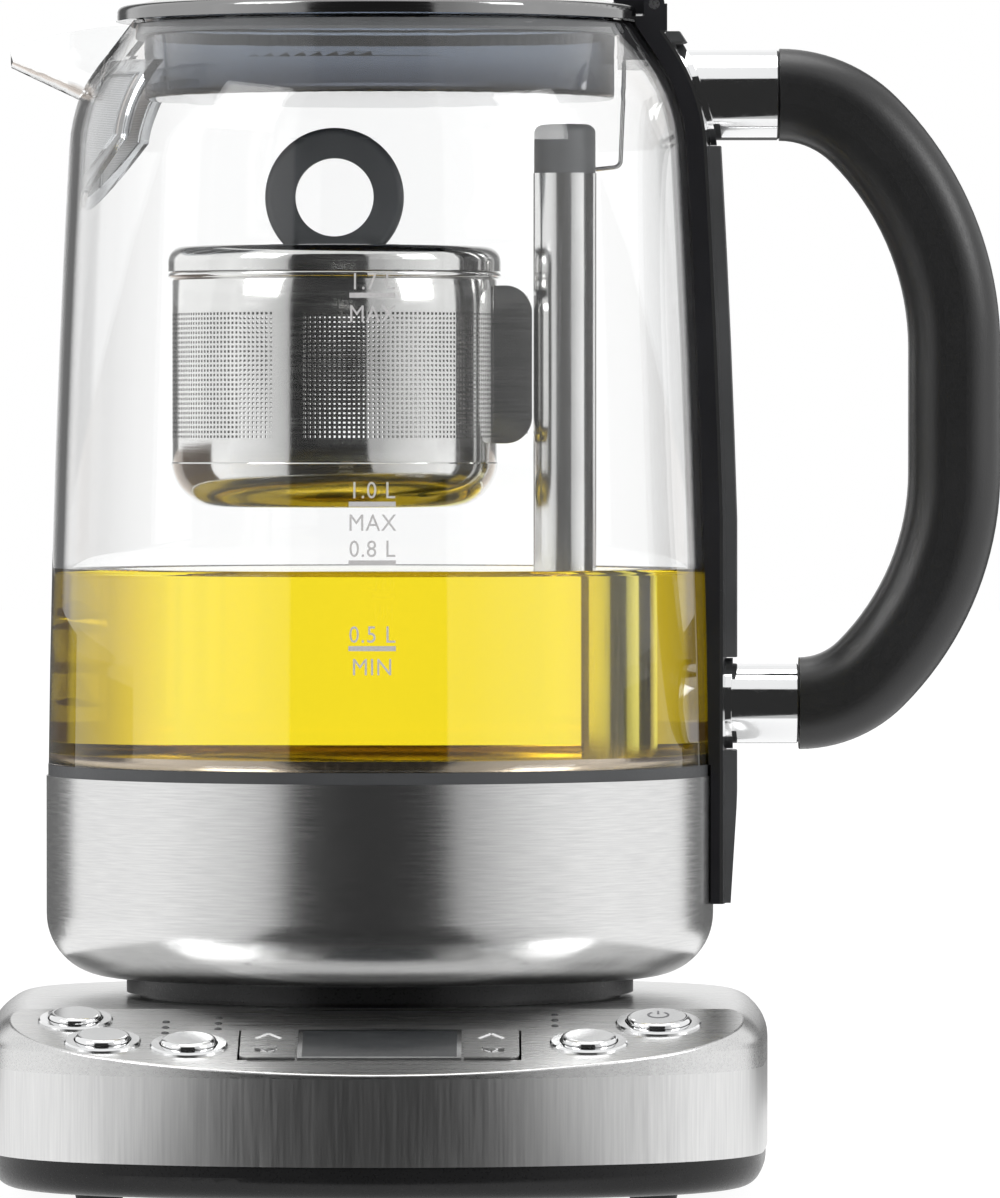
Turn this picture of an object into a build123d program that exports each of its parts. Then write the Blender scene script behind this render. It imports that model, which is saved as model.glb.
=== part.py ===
from build123d import *
"""Automatic tea maker: a glass jug with a magnetic infuser lift, on a steel power base.

The jug's axis stands at X = 0, Y = 0 while the pieces are made; the last step moves the
whole object so that its origin is the centre of its footprint, at table height.
Front is -Y, the handle points to +X, the spout to -X.
"""
from math import atan2, copysign, cos, degrees, radians, sin, tan
import os

# ---------------------------------------------------------------- driving dimensions, mm
FACE_GAP = 0.3          # between curved faces of pieces that don't move as one
RUN_GAP = 0.06          # radial clearance of a running fit

# power base
BASE_WIDTH = 174.0
BASE_FRONT = 110.0      # from the jug axis to the front edge
BASE_BACK = 77.0        # from the jug axis to the back edge
BASE_FRONT_ARC = 135.0  # radii of the outline's four shallow arcs, seen from above
BASE_SIDE_ARC = 800.0
BASE_BACK_ARC = 300.0
BASE_CORNER = 46.0
FOOT_HEIGHT = 3.5
FOOT_RADIUS = 5.5
PAN_TOP = 11.0
PAN_ROUND = 5.0
BAND_TOP = 30.0
SEAT_Z = 42.5           # flat top that the jug stands on
SEAT_ROUND = 8.0
CREASE_Y = -59.5        # where the flat top breaks into the sloped key panel
STEEL_WALL = 1.6
PAN_WALL = 2.4
PLATE_WALL = 2.2

# key panel
PANEL_FRONT_RISE = 0.9  # height of the panel's front edge over the band
PANEL_EDGE = 0.6        # rounding along that edge
BUTTONS = {             # name: (x, y of the axis, ring radius)
    "heat": (-40.5, -88.0, 8.5),
    "warm": (-59.3, -85.0, 8.4),
    "lift": (-65.8, -68.6, 8.2),
    "time": (46.3, -86.0, 8.5),
    "power": (61.6, -71.2, 9.4),
}
RING_WALL = 2.1
RING_PROUD = 0.7
CAP_PROUD = 1.9
BUTTON_TRAVEL = 1.2
BUTTON_GAP = 0.25
STEM_RADIUS = 2.6
DISPLAY_X = 0.9
DISPLAY_Y = -87.4
DISPLAY_SIZE = (35.5, 22.0)
DISPLAY_PROUD = 0.35
ROCKER_SIZE = (12.0, 22.0)
ROCKER_GAP = 0.5
ROCKER_PROUD = 0.5

# jug
SHELL_RADIUS = 75.0
SHELL_BOTTOM = SEAT_Z + 4.7
SHELL_HEIGHT = 45.0
SHELL_TOP = SHELL_BOTTOM + SHELL_HEIGHT
SHELL_ROUND = 14.0
GASKET_TOP = SHELL_TOP + 2.5
GLASS_HEIGHT = 166.3
GLASS_BULGE = 0.8       # of the straight wall at its middle
GLASS_WALL = 2.5
GLASS_FOOT_RADIUS = SHELL_RADIUS - 0.5
GLASS_NECK_RADIUS = GLASS_FOOT_RADIUS - 4.7
SHOULDER_HEIGHT = 27.7
RIM_RADIUS = 58.0
RIM_Z = GASKET_TOP + GLASS_HEIGHT
GLASS_NECK_Z = RIM_Z - SHOULDER_HEIGHT
SKIRT_DEPTH = 8.0       # how far the glass reaches down inside the steel shell
BOTTOM_RADIUS = 57.0
HEATER_TOP = SHELL_TOP - 1.2
HEATER_THICK = 2.0
SPOUT_REACH = GLASS_NECK_RADIUS + 13.0
SPOUT_TIP_Z = RIM_Z - 10.0

# lift post and infuser
POST_X = 41.6
POST_RADIUS = 7.1
POST_WALL = 1.0
POST_TOP = RIM_Z - 33.7
CAP_TOP = POST_TOP + 11.2
CAP_RADIUS = 6.9
BASKET_RADIUS = 36.5
BASKET_TO_POST = 51.8   # between their axes
BASKET_X = POST_X - BASKET_TO_POST
BASKET_RIM_RADIUS = BASKET_RADIUS + 0.9
BASKET_HEIGHT = 52.9
BASKET_RIM_Z = RIM_Z - 55.8
BASKET_BOTTOM = BASKET_RIM_Z - BASKET_HEIGHT
BASKET_WALL = 0.9
BASKET_ROUND = 8.0
SCREEN_LOW = BASKET_BOTTOM + 15.3
SCREEN_HIGH = BASKET_RIM_Z - 9.2
SCREW_RADIUS = 2.0
CARRIAGE_LENGTH = 34.0
INFUSER_LID_TOP = BASKET_RIM_Z + 5.6
RING_Z = INFUSER_LID_TOP + 11.1
RING_OUTER = 15.6
RING_INNER = 8.8
RING_THICK = 5.0

# lid
LID_RADIUS = RIM_RADIUS + 1.0
LID_LOW = RIM_Z + FACE_GAP
LID_RIM_HIGH = LID_LOW + 3.3
LID_TOP = LID_RIM_HIGH + 7.0
COLLAR_RADIUS = RIM_RADIUS - 5.0
COLLAR_LOW = RIM_Z - 17.0
COLLAR_WALL = 1.8
HINGE_X = RIM_RADIUS + 3.5
HINGE_Z = RIM_Z + 4.0
KNUCKLE_RADIUS = 2.3
PIN_RADIUS = 1.25
KNUCKLE_WIDTH = 16.0
HINGE_WIDTH = 26.0

# handle
STRAP_WIDTH = 26.0
STRAP_THICK = 3.6
STRAP_LOW = SHELL_BOTTOM + 16.3
SPINE_THICK = 2.4
SPINE_WIDTH = 17.0
GRIP_THICK = 20.5
GRIP_WIDTH = 23.0
GRIP_REACH = GLASS_FOOT_RADIUS + 54.7       # from the jug axis to the grip's centre line
UPPER_Z = RIM_Z - 16.0
LOWER_Z = GASKET_TOP + 13.5
UPPER_FERRULE = (10.2, GLASS_FOOT_RADIUS + 15.3)    # radius, outer end
LOWER_FERRULE = (9.0, GLASS_FOOT_RADIUS + 19.8)

# ------------------------------------------------------------------------ small helpers
NODES = {}


def disc(radius, low, high, x=0.0, y=0.0):
    """Upright cylinder between two heights."""
    return Pos(x, y, low) * extrude(Circle(radius), high - low)


def tube(outer, inner, low, high, x=0.0, y=0.0):
    return disc(outer, low, high, x, y) - disc(inner, low - 1, high + 1, x, y)


def block(x, y, z):
    """Box from three (low, high) pairs."""
    size = (x[1] - x[0], y[1] - y[0], z[1] - z[0])
    middle = ((x[0] + x[1]) / 2, (y[0] + y[1]) / 2, (z[0] + z[1]) / 2)
    return Pos(*middle) * Box(*size)


def keep(name, *solids):
    """Put one or more separate solids in the node called name."""
    NODES[name] = list(solids)


# --------------------------------------------------------------------------- power base
PANEL_TILT = degrees(atan2(
    SEAT_Z - BAND_TOP - PANEL_FRONT_RISE, BASE_FRONT + CREASE_Y))


def base_plan(inset=0.0):
    """Four shallow arcs with rounded corners between them, seen from above."""
    plan = Pos(0, BASE_FRONT_ARC - BASE_FRONT) * Circle(BASE_FRONT_ARC - inset)
    plan &= Pos(0, BASE_BACK - BASE_BACK_ARC) * Circle(BASE_BACK_ARC - inset)
    for side in (-1, 1):
        middle = side * (BASE_WIDTH / 2 - BASE_SIDE_ARC)
        plan &= Pos(middle, 0) * Circle(BASE_SIDE_ARC - inset)
    return fillet(plan.vertices(), BASE_CORNER - inset)


def panel_plane(height=0.0, x=0.0, y=CREASE_Y):
    """Plane of the key panel, raised by height along its own normal."""
    plane = Plane((x, y, panel_height(y)), x_dir=(1, 0, 0),
                  z_dir=(0, -sin(radians(PANEL_TILT)), cos(radians(PANEL_TILT))))
    return plane.offset(height)


def panel_height(y):
    """Height of the key panel's surface at a distance y from the jug's axis."""
    return SEAT_Z + (y - CREASE_Y) * tan(radians(PANEL_TILT))


def over_panel(height=0.0):
    """Everything above the key panel's plane, raised by height."""
    return panel_plane(height) * Pos(0, 0, 100) * Box(400, 400, 200)


def plate_form(inset=0.0):
    """Top plate's outer form; the inset form is its hollow."""
    low = BAND_TOP - inset
    form = Pos(0, 0, low) * extrude(base_plan(inset), SEAT_Z - inset - low)
    form = fillet(form.faces().sort_by(Axis.Z)[-1].edges(), SEAT_ROUND - inset)
    form -= over_panel(-inset)
    if inset:
        return form
    panel = form.faces().sort_by_distance((0, CREASE_Y - 20, panel_height(CREASE_Y - 20)))[0]
    front = panel.edges().sort_by(Axis.Y)[0]
    return fillet(front, PANEL_EDGE)


def panel_cut(shape_2d, x, y, through=12.0):
    """Prism normal to the key panel, from above it to below it."""
    return panel_plane(-through, x, y) * extrude(shape_2d, 2 * through)


def panel_disc(x, y, radius, low, high):
    """Cylinder normal to the key panel between two heights over it."""
    return panel_plane(low, x, y) * extrude(Circle(radius), high - low)


def rocker_x(side):
    reach = DISPLAY_SIZE[0] / 2 + ROCKER_SIZE[0] / 2 + ROCKER_GAP
    return DISPLAY_X + side * reach


def make_top_plate():
    plate = plate_form() - plate_form(PLATE_WALL)
    for x, y, radius in BUTTONS.values():
        plate -= panel_cut(Circle(radius - RING_PROUD), x, y)
    plate -= panel_cut(Rectangle(*DISPLAY_SIZE), DISPLAY_X, DISPLAY_Y)
    key = Rectangle(ROCKER_SIZE[0] + ROCKER_GAP, ROCKER_SIZE[1] + 2 * ROCKER_GAP)
    for side in (-1, 1):
        plate -= panel_cut(key, rocker_x(side) + side * ROCKER_GAP / 2, DISPLAY_Y)
    return plate - disc(CONNECTOR_RADIUS, BAND_TOP, SEAT_Z + 1)


def make_side_band():
    band = Pos(0, 0, PAN_TOP) * extrude(base_plan(), BAND_TOP - PAN_TOP)
    inner = Pos(0, 0, PAN_TOP) * extrude(base_plan(STEEL_WALL), BAND_TOP - PAN_TOP)
    return band - inner - cord_hole()


def make_pan():
    """Tray under the base, with a lip up inside the steel band."""
    low = FOOT_HEIGHT
    pan = Pos(0, 0, low) * extrude(base_plan(0.4), PAN_TOP - low)
    pan = fillet(pan.faces().sort_by(Axis.Z)[0].edges(), PAN_ROUND)
    lip = base_plan(STEEL_WALL + FACE_GAP)
    pan += Pos(0, 0, PAN_TOP - 1) * extrude(lip, 9)
    hollow = base_plan(STEEL_WALL + FACE_GAP + PAN_WALL)
    pan -= Pos(0, 0, low + PAN_WALL) * extrude(hollow, 40)
    for x, y in SCREW_PLACES:
        pan += disc(SCREW_BOSS, low + PAN_WALL / 2, low + SCREW_LENGTH + 1, x, y)
        pan -= disc(SCREW_SIZE, low - 1, BAND_TOP, x, y)
        pan -= disc(SCREW_HEAD, low - 1, low + 1.4, x, y)
    return pan - cord_hole()


FEET_PLACES = [(0.5, -96.0), (-60.5, -72.0), (60.5, -72.0), (-56.0, 48.0), (56.0, 48.0)]
SCREW_PLACES = [(-34.0, -84.0), (34.0, -84.0), (-71.0, 26.0), (71.0, 26.0)]
SCREW_BOSS = 4.4
SCREW_SIZE = 1.5
SCREW_HEAD = 3.1
SCREW_LENGTH = 14.0


def make_feet():
    feet = []
    for x, y in FEET_PLACES:
        foot = Cone(FOOT_RADIUS * 0.86, FOOT_RADIUS, FOOT_HEIGHT)
        feet.append(Pos(x, y, FOOT_HEIGHT / 2) * foot)
    return feet


def make_base_screws():
    screws = []
    for x, y in SCREW_PLACES:
        head = disc(SCREW_HEAD - 0.3, FOOT_HEIGHT + 0.2, FOOT_HEIGHT + 1.4, x, y)
        slot = block((x - 2, x + 2), (y - 0.4, y + 0.4), (FOOT_HEIGHT, FOOT_HEIGHT + 0.8))
        shank = disc(SCREW_SIZE, FOOT_HEIGHT + 1.0, FOOT_HEIGHT + SCREW_LENGTH, x, y)
        screws.append(head + shank - slot)
    return screws


BUSH_RADIUS = 5.0
BUSH_BORE = 3.2
BUSH_Z = 19.0


def cord_hole(extra=0.0):
    """Way out of the base for its cord, at the back."""
    return Pos(0, BASE_BACK, BUSH_Z) * Rot(90, 0, 0) * Cylinder(BUSH_RADIUS + extra, 30)


def make_cord_bush():
    """Ring that lines the cord's way out, with a flange outside the band."""
    face = BASE_BACK - STEEL_WALL - FACE_GAP - PAN_WALL
    bush = Pos(0, face + 3.0, BUSH_Z) * Rot(90, 0, 0) * Cylinder(BUSH_RADIUS, 9.0)
    inner = Pos(0, face - 1.2, BUSH_Z) * Rot(90, 0, 0) * Cylinder(BUSH_RADIUS + 1.6, 2.0)
    bore = Pos(0, face, BUSH_Z) * Rot(90, 0, 0) * Cylinder(BUSH_BORE, 60)
    return bush + inner - bore


def make_button_rings():
    """Chrome rings, each a flange on the panel with a barrel through it."""
    rings = []
    for x, y, radius in BUTTONS.values():
        barrel = panel_disc(x, y, radius - RING_PROUD, -RING_DEPTH, RING_PROUD)
        flange = panel_disc(x, y, radius, 0, RING_PROUD)
        ring = barrel + chamfer(flange.faces().sort_by(Axis.Z)[-1].edges(), RING_PROUD / 2)
        ring -= panel_disc(x, y, radius - RING_WALL, 1 - RING_DEPTH, RING_PROUD + 1)
        ring -= panel_disc(x, y, STEM_RADIUS + BUTTON_GAP, -RING_DEPTH - 1, RING_PROUD + 1)
        rings.append(ring)
    return rings


RING_DEPTH = 6.0
BOARD_TOP = -10.5       # heights along the panel's normal
BOARD_THICK = 1.6
SWITCH_HIGH = 3.5
SWITCH_SIDE = 6.0
STEM_LOW = BOARD_TOP + SWITCH_HIGH + BUTTON_TRAVEL + 0.1


def make_button(name):
    """Domed cap with a stem down to its switch."""
    x, y, radius = BUTTONS[name]
    cap_radius = radius - RING_WALL - BUTTON_GAP
    cap = panel_disc(x, y, cap_radius, -3.2, CAP_PROUD)
    cap = fillet(cap.faces().sort_by(Axis.Z)[-1].edges(), 1.1)
    return cap + panel_disc(x, y, STEM_RADIUS, STEM_LOW, -3.0)


def panel_block(x, y, size, low, high):
    """Box standing square to the key panel."""
    return panel_plane(low, x, y) * extrude(Rectangle(size[0], size[1]), high - low)


FRAME_WALL = 1.0


def make_display_frame():
    frame = panel_block(DISPLAY_X, DISPLAY_Y, DISPLAY_SIZE, -PLATE_WALL, DISPLAY_PROUD)
    inner = (DISPLAY_SIZE[0] - 2 * FRAME_WALL, DISPLAY_SIZE[1] - 2 * FRAME_WALL)
    return frame - panel_block(DISPLAY_X, DISPLAY_Y, inner, -PLATE_WALL - 1, 2)


def make_display_window():
    inner = (DISPLAY_SIZE[0] - 2 * FRAME_WALL, DISPLAY_SIZE[1] - 2 * FRAME_WALL)
    return panel_block(DISPLAY_X, DISPLAY_Y, inner, -PLATE_WALL + 0.4, DISPLAY_PROUD - 0.1)


def make_display_module():
    size = (DISPLAY_SIZE[0] - 6, DISPLAY_SIZE[1] - 5)
    return panel_block(DISPLAY_X, DISPLAY_Y, size, BOARD_TOP, -PLATE_WALL + 0.1)


ROCKER_DEPTH = 4.5
ROCKER_AXIS = -6.2
ROCKER_WEB = 4.0
ROCKER_PIN = 1.1


def rocker_axis_cylinder(side, radius, length):
    plane = panel_plane(ROCKER_AXIS, rocker_x(side), DISPLAY_Y)
    return plane * Rot(0, 90, 0) * Cylinder(radius, length)


def make_rocker(side):
    """Key that tips to either end, with a raised bar and a pivot web below."""
    x, y = rocker_x(side), DISPLAY_Y
    key = panel_block(x, y, ROCKER_SIZE, -ROCKER_DEPTH, ROCKER_PROUD)
    outer = key.edges().filter_by(Axis.X, reverse=True).group_by(SortBy.LENGTH)[0]
    corners = [e for e in outer if (e.center().X - x) * side > 0]
    key = fillet(corners, 2.4)
    bar = panel_block(x + side * 0.5, y - ROCKER_SIZE[1] * 0.22, (4.6, 1.0), 0, ROCKER_PROUD + 0.4)
    web = panel_block(x, y, (ROCKER_WEB, 5.0), ROCKER_AXIS - 2.2, -ROCKER_DEPTH + 1)
    return key + bar + web - rocker_axis_cylinder(side, ROCKER_PIN + RUN_GAP, 2 * ROCKER_WEB)


def make_key_brackets():
    """A forked bracket with its pin under each rocker, standing on the board."""
    brackets = []
    for side in (-1, 1):
        x, y = rocker_x(side), DISPLAY_Y
        width = ROCKER_WEB + 5.0
        bracket = panel_block(x, y, (width, 5.0), BOARD_TOP, ROCKER_AXIS + 1.2)
        slot = (ROCKER_WEB + 0.6, 6.0)
        bracket -= panel_block(x, y, slot, ROCKER_AXIS - 2.6, 0)
        bracket += rocker_axis_cylinder(side, ROCKER_PIN, width)
        brackets.append(bracket)
    return brackets


def make_control_board():
    """Board under the panel with a switch below each button."""
    low = BOARD_TOP - BOARD_THICK
    board = panel_block(0, DISPLAY_Y + 8.0, (120.0, 26.0), low, BOARD_TOP)
    board += panel_block(0, DISPLAY_Y - 2.0, (80.0, 18.0), low, BOARD_TOP)
    for x, y, radius in BUTTONS.values():
        board += panel_disc(x, y, radius - 2.0, low, BOARD_TOP)
        side = (SWITCH_SIDE, SWITCH_SIDE)
        board += panel_block(x, y, side, low, BOARD_TOP + SWITCH_HIGH - 1)
        board += panel_disc(x, y, 1.7, low, BOARD_TOP + SWITCH_HIGH)
    return board


BOARD_Z = FOOT_HEIGHT + PAN_WALL + 5.0
POWER_BOARD = (40.0, 62.0)          # its size across and back
POWER_BOARD_AT = (-44.0, 22.0)
STANDOFF_RADIUS = 3.0


def board_corners():
    reach_x, reach_y = POWER_BOARD[0] / 2 - 4, POWER_BOARD[1] / 2 - 4
    x, y = POWER_BOARD_AT
    return [(x + i * reach_x, y + j * reach_y) for i in (-1, 1) for j in (-1, 1)]


def make_power_board():
    """Mains board with a relay, a capacitor and a transformer."""
    x, y = POWER_BOARD_AT
    half = (POWER_BOARD[0] / 2, POWER_BOARD[1] / 2)
    board = block((x - half[0], x + half[0]), (y - half[1], y + half[1]), (BOARD_Z, BOARD_Z + 1.6))
    top = BOARD_Z + 1.6
    board += block((x - 16, x - 2), (y + 6, y + 24), (top, top + 13))
    board += block((x - 15, x + 3), (y - 18, y - 2), (top, top + 11))
    board += disc(4.5, top, top + 12, x - 12, y - 25)
    return board


CONNECTOR_RADIUS = 24.0
CONNECTOR_FLANGE = 26.5
CONNECTOR_LOW = 24.0
HUB_RADIUS = 15.0
HUB_HIGH = 9.0
PIN_WELL = 4.6
CONTACT_SLOT = (8.6, 11.7)
PIN_CONTACT = 2.2


def make_base_connector():
    """Round swivel connector: a hub with a centre well and a ring slot."""
    top = SEAT_Z + HUB_HIGH
    hub = disc(CONNECTOR_RADIUS, CONNECTOR_LOW, SEAT_Z)
    hub += disc(CONNECTOR_FLANGE, SEAT_Z, SEAT_Z + 0.9)
    stem = disc(HUB_RADIUS, SEAT_Z, top)
    hub += fillet(stem.faces().sort_by(Axis.Z)[-1].edges(), 1.2)
    hub -= disc(PIN_WELL, SEAT_Z - 4, top + 1)
    return hub - tube(CONTACT_SLOT[1], CONTACT_SLOT[0], SEAT_Z - 4, top + 1)


def make_base_contacts():
    inner = CONTACT_SLOT[0]
    pin = disc(PIN_CONTACT, SEAT_Z - 4, SEAT_Z + 5)
    return [pin, tube(inner + 0.9, inner, SEAT_Z - 4, SEAT_Z + 6)]


def make_connector_seat():
    """Column on the pan that holds the connector up."""
    low = FOOT_HEIGHT + PAN_WALL / 2
    return tube(CONNECTOR_RADIUS - 4, CONNECTOR_RADIUS - 7, low, CONNECTOR_LOW)


def make_standoffs():
    low = FOOT_HEIGHT + PAN_WALL / 2
    posts = [disc(STANDOFF_RADIUS, low, BOARD_Z, x, y) for x, y in board_corners()]
    return posts


# ---------------------------------------------------------------------------- glass jug
RIM_LEAN = radians(33.0)        # the shoulder's slope at the rim, from upright
SHELL_WALL = 1.2
SKIRT_RADIUS = SHELL_RADIUS - SHELL_WALL - 0.5
SKIRT_WALL = 2.3
SKIRT_LOW = SHELL_TOP - SKIRT_DEPTH
FLOOR_HOLE = BOTTOM_RADIUS - 3.5
SPOUT_SECTIONS = [              # (distance from the jug axis, half width, lowest height)
    (40.0, 25.0, 230.0),
    (69.3, 13.5, 244.6),
    (SPOUT_REACH, 4.8, SPOUT_TIP_Z),
]
LIP_POINTS = [                  # the pouring lip's upper edge, from the rim to the tip
    (RIM_RADIUS - 6.0, RIM_Z),
    (RIM_RADIUS + 6.0, RIM_Z - 0.4),
    (SPOUT_REACH - 9.0, RIM_Z - 2.4),
    (SPOUT_REACH - 2.0, SPOUT_TIP_Z + 5.2),
    (SPOUT_REACH + 2.0, SPOUT_TIP_Z + 1.6),
]


def wall_radius(z):
    """Outer radius of the glass's wall between its foot and its neck."""
    share = (z - GASKET_TOP) / (GLASS_NECK_Z - GASKET_TOP)
    chord = GLASS_FOOT_RADIUS + share * (GLASS_NECK_RADIUS - GLASS_FOOT_RADIUS)
    return chord + 4 * GLASS_BULGE * share * (1 - share)


def shoulder(wall, rim):
    """Arc from the wall's top, then a straight slope up to the rim."""
    neck, along = wall @ 1, wall % 1
    arc_x, arc_z = along.Z - cos(RIM_LEAN), sin(RIM_LEAN) + along.X
    across, up = neck.X - rim[0], rim[2] - neck.Z
    radius = (across * cos(RIM_LEAN) - up * sin(RIM_LEAN)) / (
        arc_x * cos(RIM_LEAN) - arc_z * sin(RIM_LEAN))
    joint = (neck.X - radius * arc_x, 0, neck.Z + radius * arc_z)
    return [TangentArc(neck, joint, tangent=along), Line(joint, rim)]


def jug_form(out=0.0, low=GASKET_TOP):
    """Solid inside the glass's outer side, moved outwards, from low to the rim."""
    foot = (wall_radius(low) + out, 0, low)
    middle_z = (low + GLASS_NECK_Z) / 2
    neck = (GLASS_NECK_RADIUS + out, 0, GLASS_NECK_Z)
    wall = ThreePointArc(foot, (wall_radius(middle_z) + out, 0, middle_z), neck)
    rim = (RIM_RADIUS + out / cos(RIM_LEAN), 0, RIM_Z)
    edges = [
        Line((0, 0, low), foot),
        wall,
        *shoulder(wall, rim),
        Line(rim, (0, 0, RIM_Z)),
        Line((0, 0, RIM_Z), (0, 0, low)),
    ]
    return revolve(make_face(Wire(edges)), Axis.Z)


def spout_section(reach, half, low):
    """Upright U shape across the spout."""
    high = RIM_Z + 12
    at = Plane((-reach, 0, 0), x_dir=(0, 1, 0), z_dir=(1, 0, 0))
    outline = [
        Line((-half, high), (-half, low + half)),
        ThreePointArc((-half, low + half), (0, low), (half, low + half)),
        Line((half, low + half), (half, high)),
        Line((half, high), (-half, high)),
    ]
    return at * make_face(Wire(outline))


def spout_form(inset=0.0):
    """Solid of the spout's outside, or its channel when inset."""
    sections = []
    for reach, half, low in SPOUT_SECTIONS:
        past = reach + inset if reach == SPOUT_REACH else reach
        sections.append(spout_section(past, half - inset, low + inset))
    return loft(sections, ruled=True)


def above_lip():
    """Space above the spout's lip."""
    high = RIM_Z + 20
    lip = [(-r, 0, z) for r, z in LIP_POINTS]
    corners = [lip[-1], (lip[-1][0], 0, high), (lip[0][0], 0, high), lip[0]]
    face = make_face(Wire([Spline(lip)] + Polyline(corners).edges()))
    return Pos(0, 60, 0) * extrude(face, 120, dir=(0, -1, 0))


def make_glass_body():
    spout = spout_form() & block((-90, -40), (-40, 40), (225, RIM_Z))
    outer = jug_form() + (spout - above_lip())
    outer += disc(SKIRT_RADIUS, SKIRT_LOW, GASKET_TOP)
    hollow = jug_form(-GLASS_WALL) + spout_form(GLASS_WALL)
    hollow += disc(SKIRT_RADIUS - SKIRT_WALL, SKIRT_LOW, GASKET_TOP)
    return outer - hollow


def make_jug_shell():
    """Deep-drawn steel cup round the jug's foot, open below."""
    outer = disc(SHELL_RADIUS, SHELL_BOTTOM, SHELL_TOP)
    outer = fillet(outer.edges().sort_by(Axis.Z)[0], SHELL_ROUND)
    inner = disc(SHELL_RADIUS - SHELL_WALL, SHELL_BOTTOM + SHELL_WALL, SHELL_TOP)
    inner = fillet(inner.edges().sort_by(Axis.Z)[0], SHELL_ROUND - SHELL_WALL)
    return outer - inner - disc(FLOOR_HOLE, SHELL_BOTTOM - 1, SHELL_TOP)


def make_glass_gasket():
    return tube(SHELL_RADIUS - 0.4, SKIRT_RADIUS, SHELL_TOP, GASKET_TOP)


HEATER_LOW = HEATER_TOP - HEATER_THICK
HEATER_RADIUS = SKIRT_RADIUS - SKIRT_WALL - RUN_GAP
POST_SEAL_RADIUS = POST_RADIUS + 2.2
PROBE_AT = (14.0, 34.0)
PROBE_RADIUS = 3.5
ELEMENT_RADIUS = 26.0
ELEMENT_TUBE = 3.6


def make_heater_plate():
    """Steel floor of the jug, turned down at its edge."""
    plate = disc(HEATER_RADIUS, SKIRT_LOW, HEATER_TOP)
    plate -= disc(HEATER_RADIUS - 1.2, SKIRT_LOW - 1, HEATER_LOW)
    plate -= disc(POST_SEAL_RADIUS, HEATER_LOW - 1, HEATER_TOP + 1, POST_X)
    return plate - disc(PROBE_RADIUS, HEATER_LOW - 1, HEATER_TOP + 1, *PROBE_AT)


def make_heating_element():
    """Horseshoe of tube brazed under the floor, with its two terminals."""
    z = HEATER_LOW - ELEMENT_TUBE
    section = Plane.XZ * Pos(ELEMENT_RADIUS, z) * Circle(ELEMENT_TUBE)
    ring = revolve(section, Axis.Z, 310)
    for angle in (3, 307):
        x, y = ELEMENT_RADIUS * cos(radians(angle)), ELEMENT_RADIUS * sin(radians(angle))
        ring += disc(1.6, z - 12, z, x, y)
    return Rot(0, 0, 25) * ring


def make_temperature_probe():
    body = disc(PROBE_RADIUS, HEATER_LOW - 8, HEATER_TOP + 1.5, *PROBE_AT)
    body = fillet(body.edges().sort_by(Axis.Z)[-1], 1.2)
    return body + disc(PROBE_RADIUS + 1.5, HEATER_LOW - 2, HEATER_LOW, *PROBE_AT)


SOCKET_RADIUS = 27.3
SOCKET_FLANGE = 30.5
BOTTOM_LOW = SEAT_Z + 1.0
BOTTOM_SCREWS = [(46.0 * cos(radians(a)), 46.0 * sin(radians(a))) for a in (60, 180, 300)]


def make_bottom_plate():
    """Black plate under the jug, with a ring foot and the connector's opening."""
    plate = disc(BOTTOM_RADIUS, BOTTOM_LOW, SHELL_BOTTOM)
    plate += tube(BOTTOM_RADIUS - 3, BOTTOM_RADIUS - 6, SEAT_Z, BOTTOM_LOW)
    plate -= disc(SOCKET_RADIUS, SEAT_Z - 1, SHELL_BOTTOM + 1)
    for x, y in BOTTOM_SCREWS:
        plate += disc(4.2, BOTTOM_LOW + 1, SHELL_BOTTOM + 9, x, y)
        plate -= disc(SCREW_SIZE + RUN_GAP, SEAT_Z, SHELL_BOTTOM + 7, x, y)
        plate -= disc(SCREW_HEAD, SEAT_Z, BOTTOM_LOW + 1.5, x, y)
    return plate


def make_bottom_screws():
    screws = []
    for x, y in BOTTOM_SCREWS:
        head = disc(SCREW_HEAD - 0.3, BOTTOM_LOW + 0.3, BOTTOM_LOW + 1.5, x, y)
        slot = block((x - 2, x + 2), (y - 0.4, y + 0.4), (BOTTOM_LOW, BOTTOM_LOW + 0.8))
        screws.append(head + disc(SCREW_SIZE, BOTTOM_LOW + 1, SHELL_BOTTOM + 6, x, y) - slot)
    return screws


SLEEVE = (3.4, PIN_CONTACT + 0.25)      # outer and inner radius
RING_SPRING = (11.2, 10.3)
SOCKET_CEILING = SEAT_Z + HUB_HIGH + 0.8


def make_jug_connector():
    """Socket that drops over the base's hub."""
    top = SOCKET_CEILING + 6
    socket = disc(SOCKET_RADIUS - RUN_GAP, BOTTOM_LOW + 0.3, top)
    socket += disc(SOCKET_FLANGE, SHELL_BOTTOM, SHELL_BOTTOM + 2)
    socket -= disc(HUB_RADIUS + 0.5, SEAT_Z, SOCKET_CEILING)
    socket -= disc(SLEEVE[0], SEAT_Z, top + 1)
    return socket - tube(RING_SPRING[0], RING_SPRING[1], SEAT_Z, top - 1)


def make_jug_contacts():
    top = SOCKET_CEILING + 6
    low = SEAT_Z + 1.5
    return [tube(*SLEEVE, low, top), tube(*RING_SPRING, low, top - 1)]


MOTOR_RADIUS = 9.8
GEARBOX_TOP = HEATER_LOW - 5.0
GEARBOX_LOW = GEARBOX_TOP - 14.0
SCREW_LOW = GEARBOX_TOP - 5.0
JOURNAL_RADIUS = 1.3
PLUG_LOW = POST_TOP - 6.0


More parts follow.
